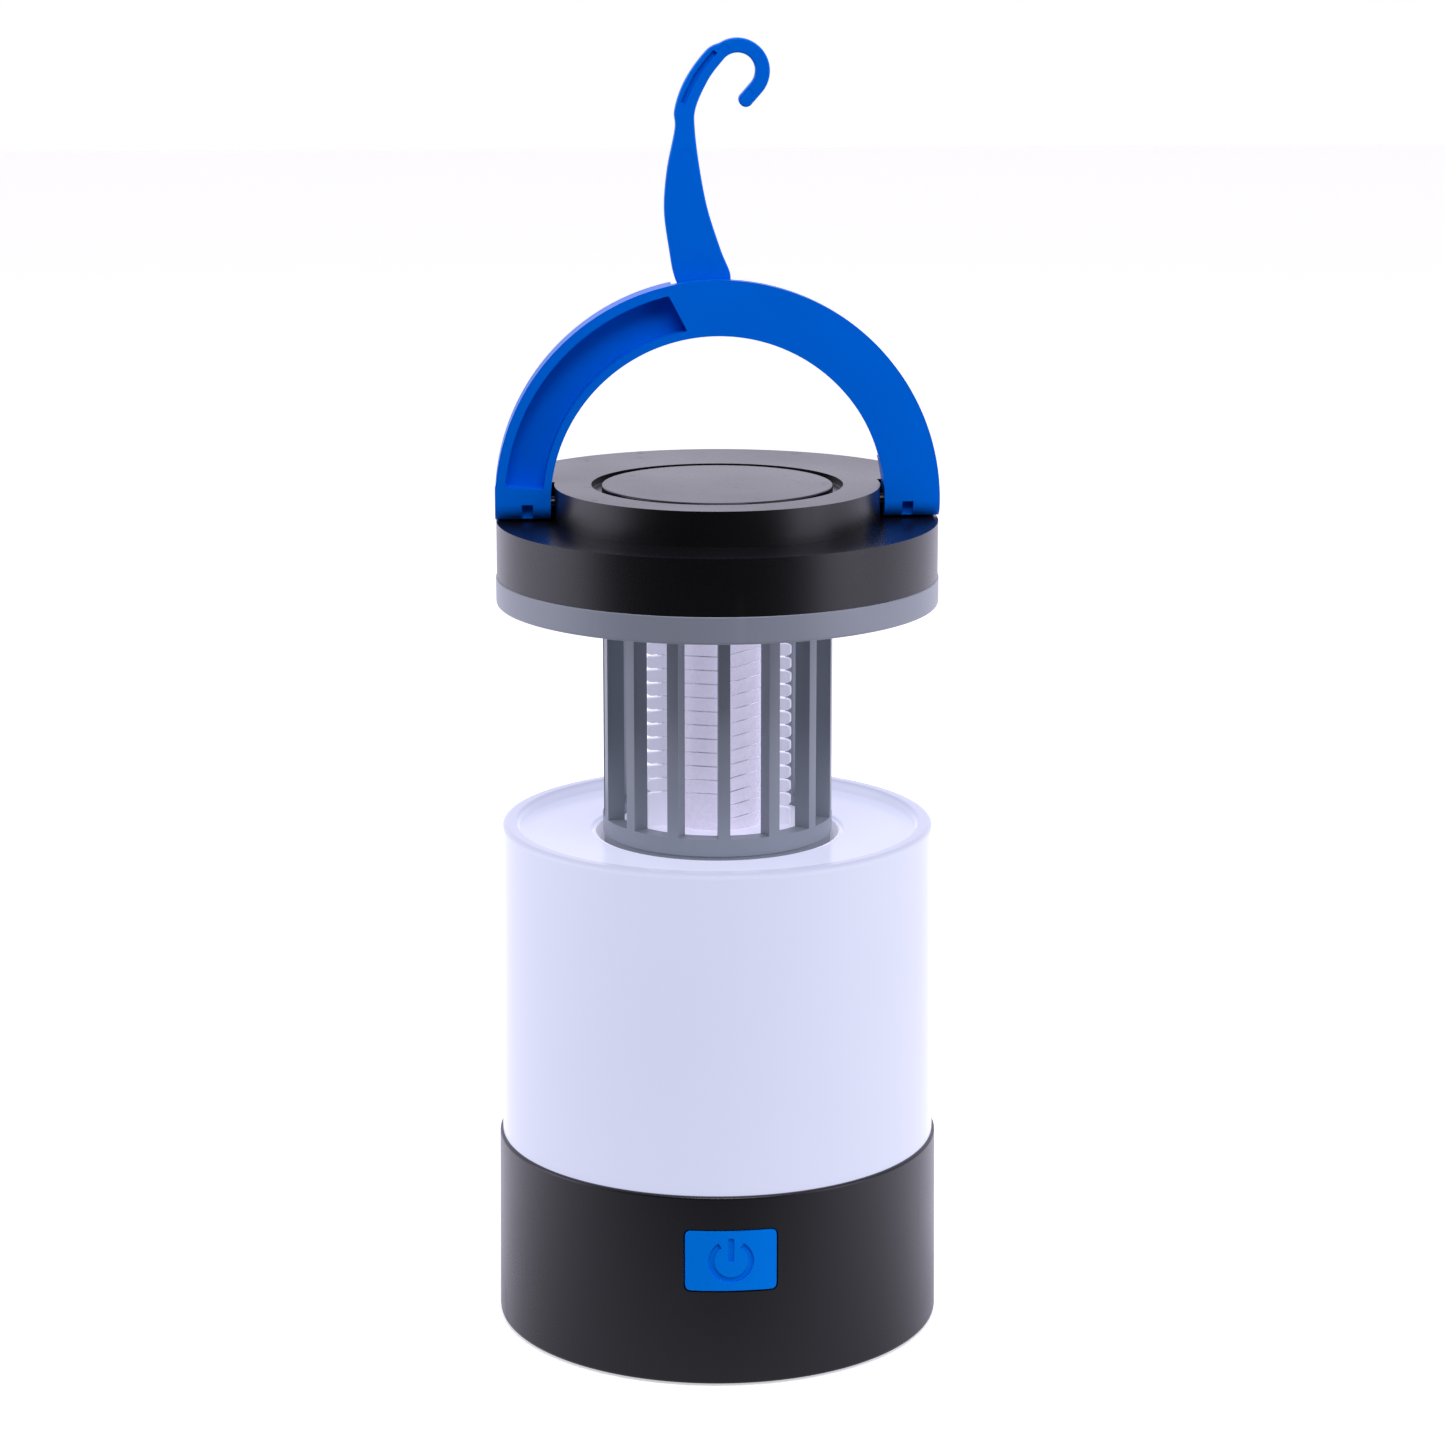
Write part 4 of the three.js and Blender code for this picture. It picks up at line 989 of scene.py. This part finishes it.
def comb_post(index, bottom, top):
    """Round-nosed teeth with a narrow slot between them for each turn of wire."""
    levels = [crossing(index, turn, winding) for turn in range(WIRE_TURNS + 1) for winding in (0, 1)]
    levels = [z for z in levels if z < top - 3]
    deep = WIRE_RING - WIRE_RADIUS - 0.1
    outline = [(POST_INNER, bottom), (POST_OUTER, bottom)]
    for z in levels:
        outline += [
            (POST_OUTER, z - TOOTH_MOUTH, 0.5),
            (POST_OUTER - TOOTH_DEPTH, z - TOOTH_SLIT, 0.2),
            (deep, z - TOOTH_SLIT),
            (deep, z + TOOTH_SLIT),
            (POST_OUTER - TOOTH_DEPTH, z + TOOTH_SLIT, 0.2),
            (POST_OUTER, z + TOOTH_MOUTH, 0.5),
        ]
    outline += [(POST_OUTER, top), (POST_INNER, top)]
    post = prism("post", soften(outline, steps=3), -POST_THICK / 2, POST_THICK / 2, "y")
    return spin(post, -90 + 360 * index / POSTS)


def grid_comb():
    floor = former_low.z + 1.6
    top = former_high.z - 3.0
    plate = top - 1.6
    obj = lathe(
        "grid_comb",
        [
            (3, former_low.z, 0.2),
            (cage_bore - FIT, former_low.z, 0.3),
            (cage_bore - FIT, floor, 0.4),
            (3, floor, 0.3),
        ],
    )
    ring = lathe("ring", [(POST_INNER, plate), (25, plate, 0.2), (25, top, 0.4), (POST_INNER, top, 0.2)])
    for k in range(POSTS):
        join(obj, comb_post(k, floor - 0.4, plate + 0.4))
    join(obj, ring)
    for x, y, _ in on_circle(STAND_RING, 3, 90):
        join(obj, rod("stand", 1.6, top - 0.4, former_high.z, at=(x, y), edge=0.0))
    round_edges(obj, 0.12, 2, angle=50)
    return finish_piece(obj, "head", "white_plastic", "grid_former")


def windings():
    for which, node in enumerate(("electrode_wire_a", "electrode_wire_b")):
        corners = []
        for k in range(WIRE_TURNS * POSTS + 1):
            a = -math.pi / 2 + 2 * math.pi * k / POSTS
            z = crossing(k, 0, which)
            corners.append(Vector((WIRE_RING * math.cos(a), WIRE_RING * math.sin(a), z)))
        path = [corners[0]]
        for before, here, after in zip(corners, corners[1:], corners[2:]):
            start = here + (before - here).normalized() * 0.5
            end = here + (after - here).normalized() * 0.5
            path += [start, (start + 2 * here + end) / 4, end]
        path.append(corners[-1])
        obj = tube_along(f"winding_{'ab'[which]}", path, WIRE_RADIUS, 10)
        finish_piece(obj, "head", "bare_steel", node)


def light_tube():
    low, high = tube_low.z, tube_high.z
    outer = tube_high.x
    profile = [(outer - 1.4, low, 0.2), (outer, low, 0.3), (outer, high, 0.3), (outer - 1.4, high, 0.2)]
    obj = lathe("light_tube", profile, MEDIUM)
    return finish_piece(obj, "head", "light_pipe", "uv_light_tube")


# ---- head ----


def head_casing():
    low, top = head_low.z, head_high.z
    inner = HEAD_RADIUS - HEAD_WALL
    obj = lathe("head_casing", [(0, low), (HEAD_RADIUS, low), (HEAD_RADIUS, ledge), (0, ledge)], closed=False)
    boss = rod("boss", BOSS_RADIUS, ledge - 1, top, segments=FINE)
    edge = math.degrees(math.asin(REAR_BLOCK_Y / HEAD_RADIUS))
    rear = prism("rear", arc(HEAD_RADIUS, edge, 180 - edge, FINE // 2), ledge - 1, top)
    join(obj, boss, rear)
    seat = [(0, top - 1.5), (SEAT_RADIUS, top - 1.5, 0.2), (SEAT_RADIUS, top + 1), (0, top + 1)]
    cut(obj, lathe("seat", seat, closed=False))
    for side in (-1, 1):
        ends = sorted((side * (BOSS_RADIUS - 6), side * (BOSS_RADIUS + 1)))
        cut(obj, rod("pin_hole", PIN_RADIUS + 0.05, ends[0], ends[1], "x", (0, handle_pivot.z)))
    round_edges(obj, 0.42, 3)
    hollow = rod("hollow", inner, low - 1, ledge - HEAD_WALL, segments=FINE)
    boss_hollow = rod("boss_hollow", BOSS_RADIUS - HEAD_WALL, ledge - 4, top - 4, segments=FINE)
    edge = math.degrees(math.asin((REAR_BLOCK_Y + HEAD_WALL) / inner))
    rear_hollow = prism("rear_hollow", arc(inner, edge, 180 - edge, FINE // 2), ledge - 4, top - 4)
    cut(obj, hollow, boss_hollow, rear_hollow)
    foot = flange_bottom + SCREW_SINK + 1.8 + FIT
    for x, y, _ in on_circle(SCREW_RING_HEAD, 4, 45):
        roof = top - HEAD_WALL - 1.5 if y > 0 else ledge - 1.2
        join(obj, rod("boss", SCREW_BOSS, foot, roof, at=(x, y)))
        cut(obj, rod("bore", SCREW_BORE, foot - 1, ledge - HEAD_WALL, at=(x, y)))
    return finish_piece(obj, "head", "black_plastic", "head_shell")


def head_plate():
    low, top = disc_low.z, disc_high.z
    radius = disc_high.x
    obj = lathe("head_plate", [(0, low), (radius, low, 0.1), (radius, top, 0.4), (0, top)], closed=False)
    return finish_piece(obj, "head", "black_plastic", "head_disc")


def hinge_pins():
    for side, node in ((-1, "hinge_pin_left"), (1, "hinge_pin_right")):
        low, high = box_mm(node)
        obj = rod(f"{node}_fine", PIN_RADIUS, low.x, high.x, "x", (0, handle_pivot.z), edge=0.25)
        # The pins are drawn in black plastic so that the gap beside each leg, where they sit, reads dark: painted
        # shade.
        finish_piece(obj, "head", "black_plastic", node)


# ---- handle and hook ----


def polar(radius, degrees):
    a = math.radians(degrees)
    return (radius * math.cos(a), radius * math.sin(a))


def handle_arch():
    half = (handle_high.y - handle_low.y) / 2
    outline = arc(HANDLE_OUTER, 0, 180, FINE // 2) + arc(HANDLE_INNER, 180, 0, FINE // 2)
    obj = prism("handle_arch", outline, -half, half, "y")
    for side in (-1, 1):
        ends = sorted((side * HANDLE_INNER, side * HANDLE_OUTER))
        join(obj, rod("leg", half, ends[0], ends[1], "x", (0, 0), 64))
    outer, inner = HANDLE_OUTER - 1.9, HANDLE_INNER + 1.5
    lean = (outer - inner) * math.tan(math.radians(ARCH_LEAN)) / 2
    swing = math.degrees(lean / ((outer + inner) / 2))
    pocket = arc(outer, ARCH_END + swing, POCKET_FOOT, 60)
    pocket += arc(inner, POCKET_FOOT, ARCH_END - swing, 60)
    marked = {0: 0.9, 60: 1.1, 61: 1.1, 121: 0.9}
    pocket = soften([(p.x, p.y, marked.get(k, 0)) for k, p in enumerate(pocket)])
    cut(obj, prism("pocket", pocket, -half - 1, -half + POCKET_DEPTH, "y"))
    width = HANDLE_OUTER - HANDLE_INNER
    lean = width * math.tan(math.radians(ARCH_LEAN)) / 2
    middle = (HANDLE_OUTER + HANDLE_INNER) / 2
    end = ARCH_END - math.degrees(1.3 / middle)
    recess = arc(HANDLE_OUTER + 3, RECESS_START, end + math.degrees(1.3 * lean / middle), 90)
    recess += arc(HANDLE_INNER - 3, end - math.degrees(1.6 * lean / middle), RECESS_START, 90)
    cut(obj, prism("recess", recess, -half + HANDLE_PLATE, half + 1, "y"))
    for side in (-1, 1):
        slot_x = side * LEG_SLOT_X
        slot_low = (slot_x - LEG_SLOT_WIDTH / 2, -half - 1, -half - 1)
        slot = block("slot", slot_low, (slot_x + LEG_SLOT_WIDTH / 2, -half + LEG_SLOT_DEPTH, 0))
        reach = sorted((side * (HANDLE_INNER - 1), side * (HANDLE_INNER + 8.7)))
        cut(obj, slot, rod("pin_hole", PIN_RADIUS + 0.08, reach[0], reach[1], "x", (0, 0)))
    rivet_at = (hook_pivot.x, hook_pivot.z - handle_pivot.z)
    cut(obj, rod("rivet", RIVET_RADIUS + 0.05, -half + 0.8, half, "y", rivet_at))
    round_edges(obj, 0.38, 3)
    for degrees, radius in ((168, 1.7), (146, 1.9), (122, 1.9), (108, 1.6)):
        x, z = polar((outer + inner) / 2 + 0.5, degrees)
        face = -half + POCKET_DEPTH
        cut(obj, rod("ejector", radius, face - 1, face + MARK_DEPTH, "y", (x, z)))
    obj.data.transform(Matrix.Translation((0, 0, handle_pivot.z * MM)))
    return finish_piece(obj, "handle", "blue_plastic", "handle")


def hook_outline():
    """The hook's outline, from its pivot: an eye, a tapering stem with a neck, and a round-tipped curl."""
    curl = Vector((6.94, 44.6))
    tip = Vector((8.61, 39.05))
    outer, inner = 6.34, 3.5
    toward = tip - curl
    turn_in = math.degrees(math.atan2(toward.y, toward.x) + math.acos((outer + inner) / 2 / toward.length))
    right = [(5.67, 4.4), (3.72, 9.9), (1.19, 17.7), (-0.37, 25.5)]
    right += [(-1.35, 33.3), (-1.15, 37.6), (1.38, 43.1)]
    left = [(1.19, 48.8), (-1.93, 45.0), (-4.08, 41.1), (-5.34, 36.8), (-5.25, 33.3)]
    left += [(-6.8, 25.5), (-7.4, 17.7), (-6.43, 9.9), (-5.4, 4.6)]
    eye = arc(HOOK_EYE, 167.4, 363.6, 32)
    inner_arc = arc(inner, 143, turn_in, 32, curl.x, curl.y)
    outer_arc = arc(outer, turn_in, 122, 48, curl.x, curl.y)
    tip_arc = arc((outer - inner) / 2, turn_in + 180, turn_in + 360, 16, tip.x, tip.y)
    points = eye + spline([eye[-1]] + right + [inner_arc[0]])[1:-1]
    points += inner_arc + tip_arc + outer_arc
    points += spline([outer_arc[-1]] + left + [eye[0]])[1:-1]
    return points


def fine_hook():
    front, back = hook_low.y, hook_high.y
    obj = rounded_prism("fine_hook", hook_outline(), front, back, 0.4)
    groove_low, groove_high = Vector((-3.75, 38.4)), Vector((2.6, 48.4))
    along = (groove_high - groove_low).normalized()
    across = Vector((-along.y, along.x)) * 0.5
    bend = [groove_low, (groove_low + groove_high) / 2 + across * 1.2, groove_high]
    line = spline([tuple(p) for p in bend], 10)
    groove = [p + across for p in line] + [p - across for p in reversed(line)]
    cut(obj, prism("groove", groove, front - 1, front + 0.7, "y"))
    for x, z, radius in ((-3.2, 27.8, 1.75), (-0.2, 6.4, 2.0), (4.3, 48.9, 1.0), (9.1, 40.2, 1.0)):
        cut(obj, rod("mark", radius, front - 1, front + MARK_DEPTH, "y", (x, z)))
    cut(obj, rod("eye", RIVET_RADIUS + 0.08, front - 1, back + 1, "y"))
    obj.data.transform(Matrix.Translation(Vector((hook_pivot.x, 0, hook_pivot.z)) * MM))
    return finish_piece(obj, "hook", "blue_plastic", "hang_hook")


def hook_rivet():
    low, high = box_mm("hook_pin")
    shoulder = hook_high.y + 0.2
    shank = [(0, low.y), (RIVET_RADIUS, low.y, 0.3), (RIVET_RADIUS, shoulder)]
    button = [(RIVET_HEAD, shoulder, 0.15), (RIVET_HEAD, high.y, 0.55), (0, high.y)]
    obj = lathe("hook_rivet", shank + button, 48, closed=False)
    obj.data.transform(Matrix.Rotation(-math.pi / 2, 4, "X"))
    obj.data.transform(Matrix.Translation(Vector((hook_pivot.x, 0, hook_pivot.z)) * MM))
    return finish_piece(obj, "handle", "bare_steel", "hook_pin")


base_body()
power_key()
port_flap()
base_plate()
screws("base", "base", SCREW_RING_BASE)
feet()
opal_drum()
well_sleeve()
coiled_lead()
cage_body()
cage_tray()
grid_comb()
windings()
light_tube()
head_casing()
head_plate()
screws("head", "head", SCREW_RING_HEAD)
hinge_pins()
handle_arch()
fine_hook()
hook_rivet()


# ---- stage and light ----


def studio_world():
    """White backdrop, dimmer overhead and along the horizon, with the room dark behind the camera."""
    world = bpy.data.worlds.new("studio")
    world.use_nodes = True
    tree = world.node_tree
    place = tree.nodes.new("ShaderNodeTexCoord")
    split = tree.nodes.new("ShaderNodeSeparateXYZ")
    tree.links.new(place.outputs["Generated"], split.inputs[0])
    span = tree.nodes.new("ShaderNodeMapRange")
    span.inputs["From Min"].default_value = -1.0
    tree.links.new(split.outputs["Y"], span.inputs["Value"])
    ramp = tree.nodes.new("ShaderNodeValToRGB")
    stops = [(0.0, 0.02), (0.08, 0.08), (0.2, 0.3), (0.35, 0.6)]
    stops += [(0.5, 0.8), (0.75, 1.0), (0.9, 1.2), (1.0, 1.5)]
    ramp.color_ramp.elements[0].position = stops[0][0]
    ramp.color_ramp.elements[1].position = stops[-1][0]
    for position, level in stops[1:-1]:
        ramp.color_ramp.elements.new(position)
    for element, (position, level) in zip(ramp.color_ramp.elements, stops):
        element.color = (level * 0.86, level * 0.83, level * 1.0, 1)
    tree.links.new(span.outputs["Result"], ramp.inputs["Fac"])
    far = tree.nodes.new("ShaderNodeMapRange")
    far.inputs["From Min"].default_value = 0.02
    far.inputs["From Max"].default_value = 0.13
    far.inputs["To Min"].default_value = 0.4
    tree.links.new(split.outputs["Z"], far.inputs["Value"])
    path = tree.nodes.new("ShaderNodeLightPath")
    lit = tree.nodes["Background"]
    high = tree.nodes.new("ShaderNodeMapRange")
    high.inputs["From Min"].default_value = 0.3
    high.inputs["From Max"].default_value = 0.8
    high.inputs["To Min"].default_value = 1.0
    high.inputs["To Max"].default_value = 0.5
    tree.links.new(split.outputs["Z"], high.inputs["Value"])
    strength = tree.nodes.new("ShaderNodeMath")
    strength.operation = "MULTIPLY"
    tree.links.new(far.outputs["Result"], strength.inputs[0])
    tree.links.new(high.outputs["Result"], strength.inputs[1])
    tree.links.new(strength.outputs[0], lit.inputs["Strength"])
    tree.links.new(ramp.outputs["Color"], lit.inputs["Color"])
    seen = tree.nodes.new("ShaderNodeBackground")
    seen.inputs["Color"].default_value = (1, 1, 1, 1)
    both = tree.nodes.new("ShaderNodeMixShader")
    tree.links.new(path.outputs["Is Camera Ray"], both.inputs[0])
    tree.links.new(lit.outputs[0], both.inputs[1])
    tree.links.new(seen.outputs[0], both.inputs[2])
    tree.links.new(both.outputs[0], tree.nodes["World Output"].inputs["Surface"])
    bpy.context.scene.world = world


def pale_floor():
    """A wide pale table, evenly bright to the camera, with a painted glow for reflections that darkens towards the
    room in front.
    """
    half = 3000
    corners = [(-half, -half, 0), (half, -half, 0), (half, half, 0), (-half, half, 0)]
    floor = mesh_object("floor", corners, [[0, 1, 2, 3]])
    g = Graph("pale_floor")
    g.set(Base_Color=(0.97, 0.97, 0.975, 1), Roughness=0.75, Specular_IOR_Level=0.1)
    g.set(Emission_Color=(1, 1, 1, 1), Emission_Strength=0.55)
    split = g.node("ShaderNodeSeparateXYZ", {0: g.place})
    aside = g.maths("MULTIPLY", g.maths("ABSOLUTE", split.outputs["X"], 0.0), 0.6)
    aside = g.maths("ADD", aside, g.maths("MULTIPLY", split.outputs["X"], 0.2))
    back = g.ramp(g.maths("ADD", split.outputs["Y"], aside), -0.35, 0.1)
    level = g.maths("ADD", g.maths("MULTIPLY", g.maths("MULTIPLY", back, back), 1.4), 0.04)
    # Painted light: reflections and bounce light see this emission, bright behind and beside the object and dark
    # towards the room in front, instead of the lit table.
    glow = g.node("ShaderNodeEmission", {"Strength": level, "Color": (0.86, 0.83, 1, 1)})
    path = g.node("ShaderNodeLightPath")
    both = g.node("ShaderNodeMixShader")
    g.feed(both.inputs[0], path.outputs["Is Camera Ray"])
    g.feed(both.inputs[1], glow.outputs[0])
    g.feed(both.inputs[2], g.shader.outputs[0])
    g.feed(g.tree.nodes["Material Output"].inputs["Surface"], both.outputs[0])
    floor.data.materials.append(g.material)


def area_light(name, place, aim, size, power, color=(1, 1, 1)):
    data = bpy.data.lights.new(name, "AREA")
    data.shape = "RECTANGLE"
    data.size, data.size_y = size
    data.energy = power
    data.color = color
    light = bpy.data.objects.new(name, data)
    bpy.context.scene.collection.objects.link(light)
    light.location = place
    light.rotation_euler = (Vector(aim) - Vector(place)).to_track_quat("-Z", "Y").to_euler()


studio_world()
pale_floor()
LIGHT_COLOR = (0.87, 0.84, 1.0)
area_light("overhead_softbox", (0.0, 0.0, 1.2), (0, 0, 0.1), (0.7, 0.7), 1.2, LIGHT_COLOR)
area_light("front_softbox", (0.05, -0.75, 1.05), (0, 0, 0.13), (0.7, 0.5), 8.5, LIGHT_COLOR)
area_light("right_softbox", (1.05, -0.55, 0.45), (0, 0, 0.13), (0.75, 1.0), 4.5, LIGHT_COLOR)
area_light("left_softbox", (-1.19, 0.1, 0.45), (0, 0, 0.13), (0.8, 1.0), 4.5, LIGHT_COLOR)

scene = bpy.context.scene
scene.view_settings.view_transform = "Standard"
scene.view_settings.look = "None"
